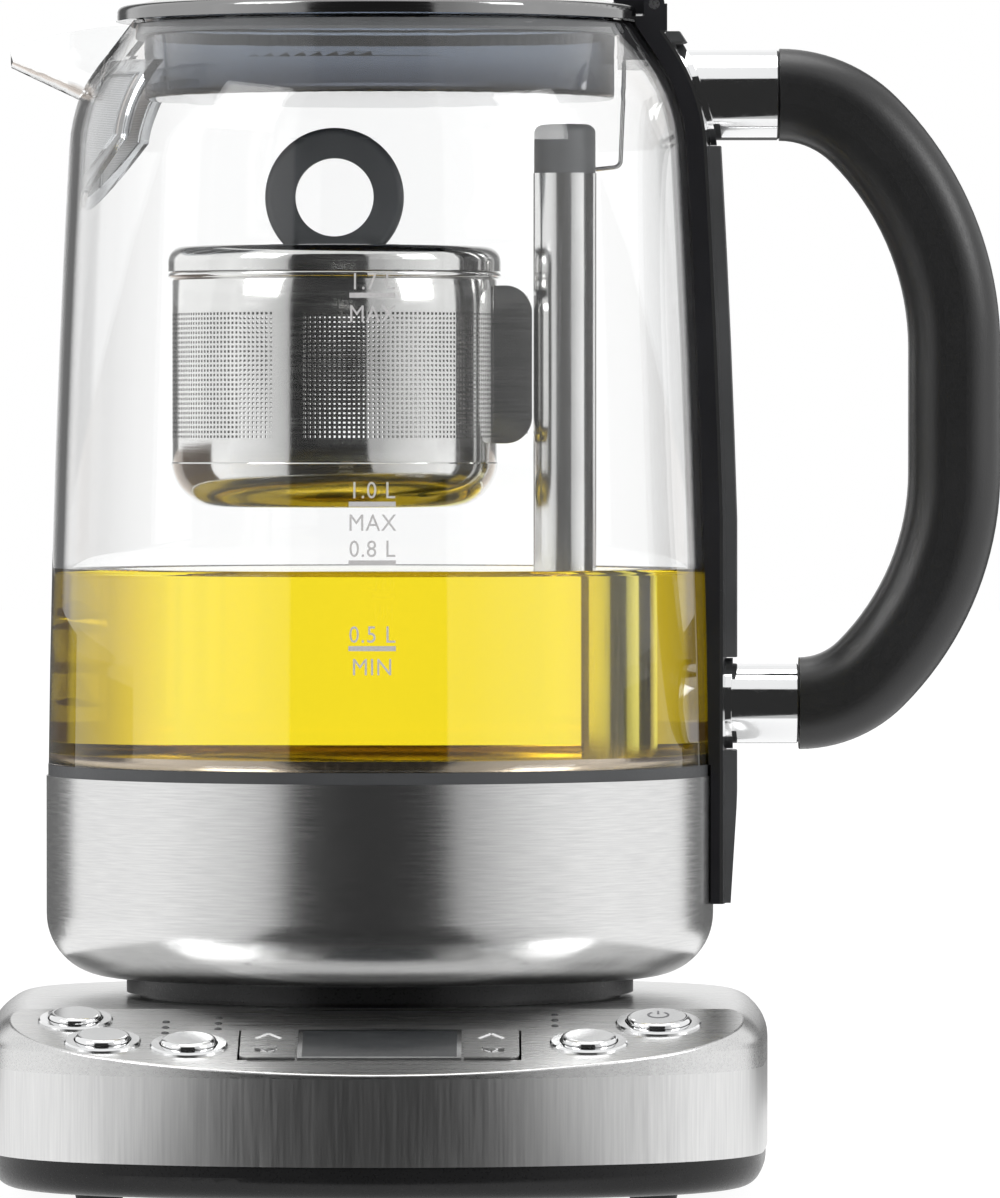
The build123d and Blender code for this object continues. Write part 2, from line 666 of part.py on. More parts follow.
def make_lift_motor():
    """Gear motor standing on the bottom plate, under the post."""
    motor = disc(MOTOR_RADIUS, SHELL_BOTTOM, GEARBOX_LOW, POST_X)
    gearbox = disc(MOTOR_RADIUS + 2, GEARBOX_LOW, GEARBOX_TOP, POST_X)
    bore = disc(SCREW_RADIUS + RUN_GAP, SCREW_LOW - 0.2, GEARBOX_TOP + 1, POST_X)
    return motor + gearbox - bore


def make_post_tube():
    return tube(POST_RADIUS, POST_RADIUS - POST_WALL, GEARBOX_TOP, POST_TOP, POST_X)


def make_post_cap():
    """Soft cap with a plug that holds the screw's upper end."""
    cap = disc(CAP_RADIUS, POST_TOP, CAP_TOP, POST_X)
    cap = fillet(cap.edges().sort_by(Axis.Z)[-1], 2.0)
    cap += disc(POST_RADIUS - POST_WALL, PLUG_LOW, POST_TOP, POST_X)
    return cap - disc(JOURNAL_RADIUS + RUN_GAP, PLUG_LOW - 1, PLUG_LOW + 4, POST_X)


def make_post_seal():
    """Ring that seals the post's way through the floor."""
    return tube(POST_SEAL_RADIUS, POST_RADIUS, HEATER_LOW - 2, HEATER_TOP + 1.2, POST_X)


def make_lead_screw():
    screw = disc(SCREW_RADIUS, SCREW_LOW, PLUG_LOW - 0.5, POST_X)
    return screw + disc(JOURNAL_RADIUS, PLUG_LOW - 1, PLUG_LOW + 3.7, POST_X)


CARRIAGE_MIDDLE = (SCREEN_LOW + SCREEN_HIGH) / 2 + 2.5
MAGNET_SIZE = (2.4, 6.0, 9.0)
MAGNET_STEP = 11.0


def magnet_heights():
    return [CARRIAGE_MIDDLE + i * MAGNET_STEP for i in (-1, 0, 1)]


def make_magnet_carriage():
    """Nut on the lead screw, with pockets for its magnets on the basket's side."""
    radius = POST_RADIUS - POST_WALL - 0.25
    half = CARRIAGE_LENGTH / 2
    nut = disc(radius, CARRIAGE_MIDDLE - half, CARRIAGE_MIDDLE + half, POST_X)
    nut -= disc(SCREW_RADIUS + RUN_GAP, CARRIAGE_MIDDLE - 50, CARRIAGE_MIDDLE + 50, POST_X)
    for magnet in make_carriage_magnets():
        nut -= magnet
    return nut


def make_carriage_magnets():
    low_x = POST_X - SCREW_RADIUS - 0.5 - MAGNET_SIZE[0]
    half_y, half_z = MAGNET_SIZE[1] / 2, MAGNET_SIZE[2] / 2
    return [block((low_x, low_x + MAGNET_SIZE[0]), (-half_y, half_y), (z - half_z, z + half_z))
            for z in magnet_heights()]


# ----------------------------------------------------------------------------- spout filter
FILTER_WALL = 1.4
FILTER_LOW = RIM_Z - 42.0
FILTER_HIGH = RIM_Z - 10.0
FILTER_HALF = 37.0              # half width at its widest
FILTER_BORDER = 3.0


def shield(inset=0.0):
    """Upright shield shape seen along X, wide at the top and round at the foot."""
    half, low, high = FILTER_HALF - inset, FILTER_LOW + inset, FILTER_HIGH - inset
    waist = (FILTER_LOW + FILTER_HIGH) / 2
    edges = [
        Line((-half, high), (half, high)),
        Line((half, high), (half, waist)),
        ThreePointArc((half, waist), (0, low), (-half, waist)),
        Line((-half, waist), (-half, high)),
    ]
    at = Plane((-100, 0, 0), x_dir=(0, 1, 0), z_dir=(1, 0, 0))
    return extrude(at * make_face(Wire(edges)), 90)


def make_spout_filter_frame():
    """Curved frame that clips behind the spout, with upright bars."""
    outside = -GLASS_WALL - FACE_GAP
    skin = jug_form(outside, FILTER_LOW - 1) - jug_form(outside - FILTER_WALL, FILTER_LOW - 1)
    frame = skin & (shield() - shield(FILTER_BORDER))
    bars = [block((-80, -20), (y - 0.6, y + 0.6), (FILTER_LOW, FILTER_HIGH)) for y in (-16, 0, 16)]
    for bar in bars:
        frame += (skin & bar) & shield(1.0)
    return frame


def make_spout_filter_mesh():
    """Fine mesh held in the middle of the frame's thickness."""
    outside = -GLASS_WALL - FACE_GAP - FILTER_WALL / 2 + 0.15
    skin = jug_form(outside, FILTER_LOW - 1) - jug_form(outside - 0.3, FILTER_LOW - 1)
    return (skin & shield(FILTER_BORDER)) - make_spout_filter_frame()


# ----------------------------------------------------------------------------------- handle
STRAP_FOOT = 2.3                # strap's thickness over the steel shell
TRIM_THICK = 0.7
STRAP_TOP = RIM_Z - 2.0
CORE_RADIUS = 3.0
CORE_SEAT = 9.0                 # how far the grip's rod goes into each ferrule
FLANGE_EXTRA = 1.2
UPPER_BEND = 57.0               # height that the grip's upper bend takes up
LOWER_BEND = 52.0


def wrap(out):
    """Jug's outer side over its whole height, moved outwards."""
    form = jug_form(out, SHELL_TOP)
    reach = SHELL_RADIUS + FACE_GAP
    if out > FACE_GAP:
        reach = SHELL_RADIUS + STRAP_FOOT + out - STRAP_OUT
        form &= disc(reach, SHELL_TOP, RIM_Z)
    return form + disc(reach, STRAP_LOW - 5, GASKET_TOP)


STRAP_OUT = FACE_GAP + STRAP_THICK
TRIM_OUT = STRAP_OUT + TRIM_THICK
SPINE_OUT = TRIM_OUT + SPINE_THICK


def layer(inside, outside, width, low, high):
    """Strip of even thickness up the jug's handle side."""
    strip = wrap(outside) - wrap(inside)
    return strip & block((30, 110), (-width / 2, width / 2), (low, high))


def make_handle_strap():
    return layer(FACE_GAP, STRAP_OUT, STRAP_WIDTH, STRAP_LOW, STRAP_TOP)


def make_strap_trim():
    return layer(STRAP_OUT, TRIM_OUT, STRAP_WIDTH, STRAP_LOW, STRAP_TOP)


def make_handle_spine():
    """Rib up the strap: above, between and below the ferrules."""
    upper, lower = UPPER_FERRULE[0], LOWER_FERRULE[0]
    clear = FLANGE_EXTRA + FACE_GAP
    top = layer(TRIM_OUT, SPINE_OUT, SPINE_WIDTH, UPPER_Z + upper + clear, STRAP_TOP)
    middle = layer(TRIM_OUT, SPINE_OUT, SPINE_WIDTH, LOWER_Z + lower + clear,
                   UPPER_Z - upper - clear)
    tail = layer(TRIM_OUT, SPINE_OUT, SPINE_WIDTH * 0.8, STRAP_LOW, LOWER_Z - lower - clear)
    reach = SHELL_RADIUS + STRAP_FOOT + TRIM_THICK
    slope = Plane.XZ * Polygon(
        (reach + 0.8, STRAP_LOW), (reach + 60, STRAP_LOW), (reach + 60, LOWER_Z),
        (reach + SPINE_THICK + 0.6, LOWER_Z - lower), align=None)
    tail -= extrude(slope, 20, both=True)
    return [top, middle, tail]


def along_x(radius, low, high, z):
    return Pos((low + high) / 2, 0, z) * Rot(0, 90, 0) * Cylinder(radius, high - low)


def make_ferrule(radius, end, z):
    """Chrome sleeve from the strap to the grip, with a flange on the strap."""
    start = RIM_RADIUS - 10
    sleeve = along_x(radius, start, end, z)
    sleeve = chamfer(sleeve.edges().sort_by(Axis.X)[-1], 0.6)
    flange = along_x(radius + FLANGE_EXTRA, start, end, z)
    flange &= wrap(TRIM_OUT + 1.4)
    return (sleeve + flange) - wrap(TRIM_OUT) - along_x(CORE_RADIUS, start, end + 1, z)


def bend(start_x, z, height):
    """Bend from level to upright: a small arc by the ferrule, then a wide one.

    Each arc turns through 45 degrees; a negative height makes the bend go down.
    """
    share = sin(radians(45))
    across, rise = GRIP_REACH - start_x, abs(height)
    small = (across * share - rise * (1 - share)) / (2 * share - 1)
    start = (start_x, 0, z)
    joint = (start_x + small * share, 0, z + copysign(small * (1 - share), height))
    first = TangentArc(start, joint, tangent=(1, 0, 0))
    second = TangentArc(joint, (GRIP_REACH, 0, z + height), tangent=first % 1)
    return first, second


def grip_path(extra=0.0):
    """Centre line of the grip, run into the ferrules by extra at both ends."""
    upper_x, lower_x = UPPER_FERRULE[1], LOWER_FERRULE[1]
    upper = bend(upper_x, UPPER_Z, -UPPER_BEND)
    lower = bend(lower_x, LOWER_Z, LOWER_BEND)
    path = [*upper, Line(upper[1] @ 1, lower[1] @ 1), *lower]
    if extra:
        path.append(Line((upper_x - extra, 0, UPPER_Z), upper[0] @ 0))
        path.append(Line((lower_x - extra, 0, LOWER_Z), lower[0] @ 0))
    return Wire(path)


def along_grip(section, extra=0.0):
    """Even section swept along the grip's centre line."""
    start = Plane((UPPER_FERRULE[1] - extra, 0, UPPER_Z), x_dir=(0, 1, 0), z_dir=(1, 0, 0))
    return sweep(start * section, path=grip_path(extra))


def make_handle_grip():
    grip = along_grip(RectangleRounded(GRIP_WIDTH, GRIP_THICK, 8.0))
    return grip - along_grip(Circle(CORE_RADIUS), 1.0)


def make_handle_core():
    """Bent steel rod inside the grip, let into the ferrules at both ends."""
    return along_grip(Circle(CORE_RADIUS), CORE_SEAT)


# ------------------------------------------------------------------------- lid and its hinge
NOTCH_X = LID_RADIUS - 6.5
BRIDGE_THICK = 0.9
INNER_LEG = (COLLAR_RADIUS + 1.2, 9.0)      # its inner face and its depth below the rim
WIRE_RADIUS = 0.5
FLANGE_THICK = 1.2
COVER_THICK = 1.2


def hinge_cylinder(radius, width):
    return Pos(HINGE_X, 0, HINGE_Z) * Rot(90, 0, 0) * Cylinder(radius, width)


def make_hinge_block():
    """Saddle over the glass rim, with two ears for the hinge pin."""
    half = HINGE_WIDTH / 2
    top = LID_LOW + BRIDGE_THICK
    outer_x = HINGE_X + KNUCKLE_RADIUS + 0.6
    saddle = block((INNER_LEG[0], outer_x), (-half, half), (LID_LOW, top))
    leg = block((INNER_LEG[0], 80), (-half, half), (RIM_Z - INNER_LEG[1], LID_LOW))
    leg &= jug_form(-GLASS_WALL - FACE_GAP, GASKET_TOP) + disc(
        RIM_RADIUS - 3.4, RIM_Z - 1, LID_LOW)
    outer = block((40, outer_x), (-half, half), (STRAP_TOP, LID_LOW)) - jug_form(FACE_GAP)
    outer -= disc(RIM_RADIUS + FACE_GAP + 0.4, STRAP_TOP - 1, LID_LOW)
    ears = hinge_cylinder(KNUCKLE_RADIUS, HINGE_WIDTH)
    ears += block((HINGE_X - KNUCKLE_RADIUS, outer_x), (-half, half), (LID_LOW, HINGE_Z))
    room = KNUCKLE_WIDTH / 2 + FACE_GAP
    ears -= block((0, 100), (-room, room), (top, HINGE_Z + 20))
    return saddle + leg + outer + ears - hinge_cylinder(PIN_RADIUS, HINGE_WIDTH + 1)


def make_hinge_pin():
    return hinge_cylinder(PIN_RADIUS, HINGE_WIDTH)


def make_stay_wire():
    """Spring wire from the hinge block down to the post's cap."""
    top = INNER_LEG[0] + 0.9
    foot_z = POST_TOP + 1.5
    points = [
        (top, 0, RIM_Z - INNER_LEG[1]),
        (top - 1.0, 0, foot_z),
        (POST_X + CAP_RADIUS, 0, foot_z - 0.6),
    ]
    path = FilletPolyline(*points, radius=1.6)
    start = Plane(path @ 0, z_dir=path % 0)
    return sweep(start * Circle(WIRE_RADIUS), path=path)


def hinge_notch(z_low=0.0):
    half = HINGE_WIDTH / 2 + 0.6
    return block((NOTCH_X, 100), (-half, half), (z_low or COLLAR_LOW, LID_TOP + 5))


def make_lid_collar():
    """Smoked cup under the lid, with a flange that the rim holds."""
    collar = disc(COLLAR_RADIUS, COLLAR_LOW, LID_LOW)
    collar += disc(LID_RADIUS - 2, LID_LOW, LID_LOW + FLANGE_THICK)
    collar = fillet(collar.edges().sort_by(Axis.Z)[0], 1.2)
    inner = COLLAR_RADIUS - COLLAR_WALL
    collar -= disc(inner, COLLAR_LOW + COLLAR_WALL, LID_TOP)
    return collar - hinge_notch()


def make_lid_seal():
    outer = RIM_RADIUS - GLASS_WALL - FACE_GAP - 0.2
    seal = tube(outer, COLLAR_RADIUS, RIM_Z - 3.6, RIM_Z - 1.2)
    return seal - hinge_notch()


def make_lid_rim():
    """Steel ring round the lid's edge."""
    ring = disc(LID_RADIUS, LID_LOW, LID_RIM_HIGH)
    ring = fillet(ring.edges().sort_by(Axis.Z)[-1], 1.4)
    ring -= disc(LID_RADIUS - 2, LID_LOW - 1, LID_LOW + FLANGE_THICK)
    return ring - disc(LID_RADIUS - 5.5, LID_LOW, LID_TOP) - hinge_notch()


def make_lid_cover():
    """Shallow steel dome on the rim."""
    edge = LID_RADIUS - 2.5
    rise = LID_TOP - LID_RIM_HIGH
    dome_radius = (edge ** 2 + rise ** 2) / (2 * rise)
    centre = LID_TOP - dome_radius
    dome = Pos(0, 0, centre) * (Sphere(dome_radius) - Sphere(dome_radius - COVER_THICK))
    return (dome & disc(edge + 1, LID_RIM_HIGH, LID_TOP + 1)) - hinge_notch()


def make_lid_hinge_arm():
    """Arm under the lid's edge that ends in the hinge knuckle."""
    half = KNUCKLE_WIDTH / 2
    low = LID_LOW + FLANGE_THICK
    arm = block((NOTCH_X - 8, NOTCH_X), (-half, half), (low, low + 1.9))
    arm += block((NOTCH_X, HINGE_X), (-half, half), (low + 0.4, HINGE_Z + KNUCKLE_RADIUS - 0.6))
    arm += block((NOTCH_X - 1, NOTCH_X + 1), (-half, half), (low + 0.4, low + 1.9))
    arm += hinge_cylinder(KNUCKLE_RADIUS, KNUCKLE_WIDTH)
    return arm - hinge_cylinder(PIN_RADIUS + RUN_GAP, KNUCKLE_WIDTH + 2)


# ---------------------------------------------------------------------------------- infuser
STRIP_ANGLE = 7.0               # solid strip between two windows of the cup
STRIP_FROM_FRONT = -15.4
WINDOWS = 3
SCREEN_WALL = 0.35
SLOT_ROWS = 3
SLOT_COLUMNS = 36
BRACKET_HIGH = BASKET_RIM_Z - 3.2
BRACKET_LOW = SCREEN_LOW - 1.0
BRACKET_WIDTH = 16.0
BRACKET_ROUND = 6.0
PLUG_DEPTH = 4.0
RING_FOOT = 16.0


def sector(radius, middle, width, low, high):
    """Wedge about the basket's axis; angles are in degrees."""
    wedge = Rot(0, 0, middle - width / 2) * revolve(
        Plane.XZ * Pos(radius / 2, (low + high) / 2) * Rectangle(radius, high - low),
        Axis.Z, width)
    return Pos(BASKET_X, 0, 0) * wedge


def make_infuser_cup():
    """Deep-drawn steel cup with three windows in its side."""
    cup = disc(BASKET_RADIUS, BASKET_BOTTOM, BASKET_RIM_Z, BASKET_X)
    cup = fillet(cup.edges().sort_by(Axis.Z)[0], BASKET_ROUND)
    inner = disc(BASKET_RADIUS - BASKET_WALL, BASKET_BOTTOM + BASKET_WALL, BASKET_RIM_Z, BASKET_X)
    inner = fillet(inner.edges().sort_by(Axis.Z)[0], BASKET_ROUND - BASKET_WALL)
    rim = tube(BASKET_RIM_RADIUS, BASKET_RADIUS - BASKET_WALL, BASKET_RIM_Z - 1.8,
               BASKET_RIM_Z, BASKET_X)
    cup = cup - inner + rim
    pitch = 360 / WINDOWS
    for i in range(WINDOWS):
        middle = -90 + STRIP_FROM_FRONT + (i + 0.5) * pitch
        cup -= sector(BASKET_RADIUS + 5, middle, pitch - STRIP_ANGLE, SCREEN_LOW, SCREEN_HIGH)
    return cup


def make_infuser_screen():
    """Fine screen inside the cup's windows, slotted in rows."""
    outer = BASKET_RADIUS - BASKET_WALL
    low, high = SCREEN_LOW - 2.5, SCREEN_HIGH + 2.5
    screen = tube(outer, outer - SCREEN_WALL, low, high, BASKET_X)
    row = (SCREEN_HIGH - SCREEN_LOW) / SLOT_ROWS
    pitch = 360 / SLOT_COLUMNS
    middles = [SCREEN_LOW + (j + 0.5) * row for j in range(SLOT_ROWS)]
    slots = [Pos(BASKET_X, 0, z) * Rot(0, 0, (i + 0.5) * pitch) * Box(2 * outer + 9, 2.6, row * 0.7)
             for z in middles for i in range(SLOT_COLUMNS // 2)]
    return screen - slots


def make_infuser_bracket():
    """D-shaped cover that holds the magnets against the post."""
    start = BASKET_X + BASKET_RADIUS - 8
    end = POST_X - POST_RADIUS - FACE_GAP
    bracket = block((start, end), (-BRACKET_WIDTH / 2, BRACKET_WIDTH / 2),
                    (BRACKET_LOW, BRACKET_HIGH))
    corners = bracket.edges().filter_by(Axis.Y).group_by(Axis.X)[-1]
    bracket = fillet(corners, BRACKET_ROUND)
    bracket -= disc(BASKET_RADIUS, BRACKET_LOW - 1, BRACKET_HIGH + 1, BASKET_X)
    for magnet in make_infuser_magnets():
        bracket -= magnet
    return bracket


def make_infuser_magnets():
    high_x = POST_X - POST_RADIUS - FACE_GAP - 1.0
    half_y, half_z = MAGNET_SIZE[1] / 2, MAGNET_SIZE[2] / 2
    return [block((high_x - MAGNET_SIZE[0], high_x), (-half_y, half_y), (z - half_z, z + half_z))
            for z in magnet_heights()]


def make_infuser_lid():
    lid = disc(BASKET_RIM_RADIUS, BASKET_RIM_Z, INFUSER_LID_TOP, BASKET_X)
    lid = fillet(lid.edges().sort_by(Axis.Z)[-1], 3.4)
    plug = BASKET_RADIUS - BASKET_WALL - FACE_GAP
    lid -= disc(plug - 1.2, BASKET_RIM_Z, INFUSER_LID_TOP - 1.2, BASKET_X)
    return lid + tube(plug, plug - 1.2, BASKET_RIM_Z - PLUG_DEPTH, BASKET_RIM_Z + 1, BASKET_X)


def make_infuser_ring():
    """Soft ring that the infuser is lifted out by."""
    at = Pos(BASKET_X, 0, RING_Z) * Rot(90, 0, 0)
    ring = at * Cylinder(RING_OUTER, RING_THICK)
    ring = fillet(ring.edges(), 1.6)
    ring -= at * Cylinder(RING_INNER, RING_THICK + 2)
    ring -= disc(40, 0, INFUSER_LID_TOP, BASKET_X)
    foot = Pos(BASKET_X, 0, INFUSER_LID_TOP + 0.8) * Box(RING_FOOT, RING_THICK + 2, 1.6)
    return ring + foot


# ------------------------------------------------------------------------------- assembly
def make_everything():
    keep("base_top_plate", make_top_plate())
    keep("base_side_band", make_side_band())
    keep("base_pan", make_pan() + make_connector_seat() + make_standoffs())
    keep("base_feet", *make_feet())
    keep("base_screws", *make_base_screws())
    keep("cord_bush", make_cord_bush())
    keep("display_frame", make_display_frame())
    keep("display_window", make_display_window())
    keep("display_module", make_display_module())
    keep("button_rings", *make_button_rings())
    for name in BUTTONS:
        keep("button_" + name, make_button(name))
    keep("rocker_left", make_rocker(-1))
    keep("rocker_right", make_rocker(1))
    keep("key_brackets", *make_key_brackets())
    keep("control_board", make_control_board())
    keep("power_board", make_power_board())
    keep("base_connector", make_base_connector())
    keep("base_contacts", *make_base_contacts())
    keep("glass_body", make_glass_body())
    keep("jug_shell", make_jug_shell())
    keep("jug_seals", make_glass_gasket(), make_post_seal())
    keep("heater_plate", make_heater_plate())
    keep("heating_element", make_heating_element())
    keep("temperature_probe", make_temperature_probe())
    keep("jug_bottom_plate", make_bottom_plate())
    keep("bottom_screws", *make_bottom_screws())
    keep("jug_connector", make_jug_connector())
    keep("jug_contacts", *make_jug_contacts())
    keep("lift_motor", make_lift_motor())
    keep("post_tube", make_post_tube())
    keep("post_cap", make_post_cap())
    keep("lead_screw", make_lead_screw())
    keep("magnet_carriage", make_magnet_carriage())
    keep("carriage_magnets", *make_carriage_magnets())
    keep("spout_filter_frame", make_spout_filter_frame())
    keep("spout_filter_mesh", *make_spout_filter_mesh().solids())
    keep("handle_strap", make_handle_strap())
    keep("strap_trim", make_strap_trim())
    keep("handle_spine", *make_handle_spine())
    keep("handle_ferrules", make_ferrule(*UPPER_FERRULE, UPPER_Z),
         make_ferrule(*LOWER_FERRULE, LOWER_Z))
    keep("handle_grip", make_handle_grip())
    keep("handle_core", make_handle_core())
    keep("hinge_block", make_hinge_block())
    keep("hinge_pin", make_hinge_pin())
    keep("stay_wire", make_stay_wire())
    keep("lid_collar", make_lid_collar())
    keep("lid_seal", make_lid_seal())
    keep("lid_rim", make_lid_rim())
    keep("lid_cover", make_lid_cover())
    keep("lid_hinge_arm", make_lid_hinge_arm())
    keep("infuser_cup", make_infuser_cup())
    keep("infuser_screen", make_infuser_screen())
    keep("infuser_bracket", make_infuser_bracket())
    keep("infuser_magnets", *make_infuser_magnets())
    keep("infuser_lid", make_infuser_lid())
    keep("infuser_ring", make_infuser_ring())


def export_everything():
    """Move the object to its own frame and write one file for each node."""
    os.makedirs("parts", exist_ok=True)
    boxes = [s.bounding_box() for solids in NODES.values() for s in solids]
    middle_x = (min(b.min.X for b in boxes) + max(b.max.X for b in boxes)) / 2
    middle_y = (min(b.min.Y for b in boxes) + max(b.max.Y for b in boxes)) / 2
    home = Pos(-middle_x, -middle_y, 0)
    for name, solids in NODES.items():
        moved = [home * piece for solid in solids for piece in solid.solids()]
        shape = moved[0] if len(moved) == 1 else Compound(children=moved)
        export_step(shape, "parts/" + name + ".step")
    print("jug axis at", round(-middle_x, 3), round(-middle_y, 3))


make_everything()
export_everything()
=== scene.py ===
import math

import bmesh
import bpy
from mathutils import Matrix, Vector
from mathutils.bvhtree import BVHTree
from mathutils.kdtree import KDTree


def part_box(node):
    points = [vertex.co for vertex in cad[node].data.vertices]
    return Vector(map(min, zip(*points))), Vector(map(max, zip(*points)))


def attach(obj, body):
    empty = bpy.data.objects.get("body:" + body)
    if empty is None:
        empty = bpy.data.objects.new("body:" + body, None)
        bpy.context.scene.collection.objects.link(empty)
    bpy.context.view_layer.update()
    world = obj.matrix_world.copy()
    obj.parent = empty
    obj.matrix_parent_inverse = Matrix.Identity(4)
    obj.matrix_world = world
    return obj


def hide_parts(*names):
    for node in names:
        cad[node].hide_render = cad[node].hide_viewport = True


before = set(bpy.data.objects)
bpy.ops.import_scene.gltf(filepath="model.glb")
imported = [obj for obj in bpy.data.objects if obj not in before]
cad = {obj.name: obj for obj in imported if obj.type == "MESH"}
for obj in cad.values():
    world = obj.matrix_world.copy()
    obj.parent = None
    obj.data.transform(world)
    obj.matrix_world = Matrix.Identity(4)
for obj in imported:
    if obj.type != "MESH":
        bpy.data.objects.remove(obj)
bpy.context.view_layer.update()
scene = bpy.context.scene


# ----------------------------------------------------------------------------- camera
# A long lens straight in front of the maker, at the height of the infuser, tipped down
# by less than a degree. The jug's upright axis is where all round pieces are measured.
shell_low, shell_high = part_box("jug_shell")
AXIS = Vector(((shell_low.x + shell_high.x) / 2, (shell_low.y + shell_high.y) / 2, 0))
IMAGE_TALL = 1198
FOCAL_PIXELS = 10667
LEVEL_ROW = 440
CAMERA_AWAY = 2.4
CAMERA_ASIDE = 0.027
EYE_HEIGHT = 0.1674


def placed(name, data):
    """New object in the scene."""
    obj = bpy.data.objects.new(name, data)
    scene.collection.objects.link(obj)
    return obj


camera_data = bpy.data.cameras.new("camera")
camera_data.sensor_width = 36.0
camera_data.lens = camera_data.sensor_width * FOCAL_PIXELS / IMAGE_TALL
camera_data.clip_start = 0.1
camera_data.clip_end = 30.0
camera = placed("camera", camera_data)
camera.location = (AXIS.x + CAMERA_ASIDE, AXIS.y - CAMERA_AWAY, EYE_HEIGHT)
tip_down = math.atan((IMAGE_TALL / 2 - LEVEL_ROW) / FOCAL_PIXELS)
camera.rotation_euler = (math.pi / 2 - tip_down, 0, 0)
scene.camera = camera
scene.view_settings.view_transform = "Standard"


# ----------------------------------------------------------------------------- studio
# A white floor and sky, and soft lamps above and to both sides. Dark cloths and shaded
# sheets that only gloss and glass can see stand round, so that metal and glass get edges.
FACTOR, COLOR_A, COLOR_B, COLOR_RESULT = 0, 6, 7, 2       # the Mix node's sockets
WHITE = (1, 1, 1, 1)


def node(tree, kind, inputs=(), **settings):
    """New node with its settings, and its inputs as values or as other nodes' sockets."""
    made = tree.nodes.new(kind)
    for setting, value in settings.items():
        setattr(made, setting, value)
    for slot, value in dict(inputs).items():
        if isinstance(value, bpy.types.NodeSocket):
            tree.links.new(value, made.inputs[slot])
        else:
            made.inputs[slot].default_value = value
    return made


def calculated(tree, operation, *values):
    """Result of a math node over numbers or sockets."""
    return node(tree, "ShaderNodeMath", enumerate(values), operation=operation).outputs[0]


def object_parts(tree):
    """X, Y and Z of the Object coordinates."""
    place = node(tree, "ShaderNodeTexCoord").outputs["Object"]
    return node(tree, "ShaderNodeSeparateXYZ", {0: place}).outputs


def shown_rays(tree):
    """One where the camera, gloss or glass looks, and nought for plain light."""
    rays = node(tree, "ShaderNodeLightPath").outputs
    first = calculated(tree, "MAXIMUM", rays["Is Camera Ray"], rays["Is Glossy Ray"])
    return calculated(tree, "MAXIMUM", first, rays["Is Transmission Ray"])


def mixed(tree, share, first, second):
    """Blend of two shaders, all second where the share is one."""
    return node(tree, "ShaderNodeMixShader", enumerate((share, first, second))).outputs[0]


def glowing(tree, color, strength=1.0):
    """Shader that gives its own light."""
    return node(tree, "ShaderNodeEmission", {"Color": color, "Strength": strength}).outputs[0]


def new_material(name):
    """Empty material and its node tree."""
    material = bpy.data.materials.new(name)
    material.use_nodes = True
    material.node_tree.nodes.clear()
    return material, material.node_tree


def wire_out(tree, shader):
    """Joins a shader to a new material output, and returns the output."""
    return node(tree, "ShaderNodeOutputMaterial", {"Surface": shader})


def sheet(name, corners, material):
    """Flat piece of the studio from its corners."""
    mesh = bpy.data.meshes.new(name)
    mesh.from_pydata([tuple(c) for c in corners], [], [tuple(range(len(corners)))])
    mesh.materials.append(material)
    obj = placed(name, mesh)
    return obj


SKY_LIGHT = 0.6             # strength of the sky as a lamp; it shows as plain white
scene.world = bpy.data.worlds.new("studio")
scene.world.use_nodes = True
tree = scene.world.node_tree
tree.nodes.clear()
skies = [node(tree, "ShaderNodeBackground", {"Color": WHITE, "Strength": strength}).outputs[0]
         for strength in (SKY_LIGHT, 1.0)]
node(tree, "ShaderNodeOutputWorld", {"Surface": mixed(tree, shown_rays(tree), *skies)})

FLOOR_HALF = 8.0
FLOOR_WHITE = 0.78          # share of the floor's look that is plain white, without shadow
FLOOR_GLOW = 1.2
PAPER = (0.9, 0.9, 0.9, 1)
floor_paper, tree = new_material("floor_paper")
paper = node(tree, "ShaderNodeBsdfDiffuse", {"Color": PAPER}).outputs[0]
share = calculated(tree, "MULTIPLY", shown_rays(tree), FLOOR_WHITE)
wire_out(tree, mixed(tree, share, paper, glowing(tree, WHITE, FLOOR_GLOW)))
sheet("floor", [(x * FLOOR_HALF, y * FLOOR_HALF, 0)
                for x, y in ((-1, -1), (1, -1), (1, 1), (-1, 1))], floor_paper)


def cloth(name, corners, material, seen_by_glass=True, seen_by_gloss=True):
    """Sheet that neither the camera nor plain light sees, only glass or gloss."""
    obj = sheet(name, corners, material)
    obj.visible_camera = False
    obj.visible_diffuse = False
    obj.visible_shadow = False
    obj.visible_volume_scatter = False
    obj.visible_transmission = seen_by_glass
    obj.visible_glossy = seen_by_gloss


def plain_cloth(name, shade):
    """Material of one plain grey."""
    material, tree = new_material(name)
    wire_out(tree, glowing(tree, (shade, shade, shade, 1)))
    return material


def upright(start, end, low, high):
    """Corners of an upright sheet over a line on the floor."""
    return [(*start, low), (*end, low), (*end, high), (*start, high)]


def laid(*corners):
    """Corners of a sheet that lies just over the floor."""
    return [(x, y, 0.001) for x, y in corners]


CLOTH_TALL = 2.6
CLOTH_LEFT, CLOTH_RIGHT = (-1.68, -2.75), (1.2, -2.75)
TABLE_LEFT, TABLE_RIGHT = (-0.12, -0.105), (0.05, -0.105)
black_cloth = plain_cloth("black_cloth", 0.03)
cloth("front_cloth", upright(CLOTH_LEFT, CLOTH_RIGHT, 0.0, CLOTH_TALL), black_cloth)
cloth("table_cloth", laid(CLOTH_LEFT, CLOTH_RIGHT, TABLE_RIGHT, TABLE_LEFT), black_cloth)

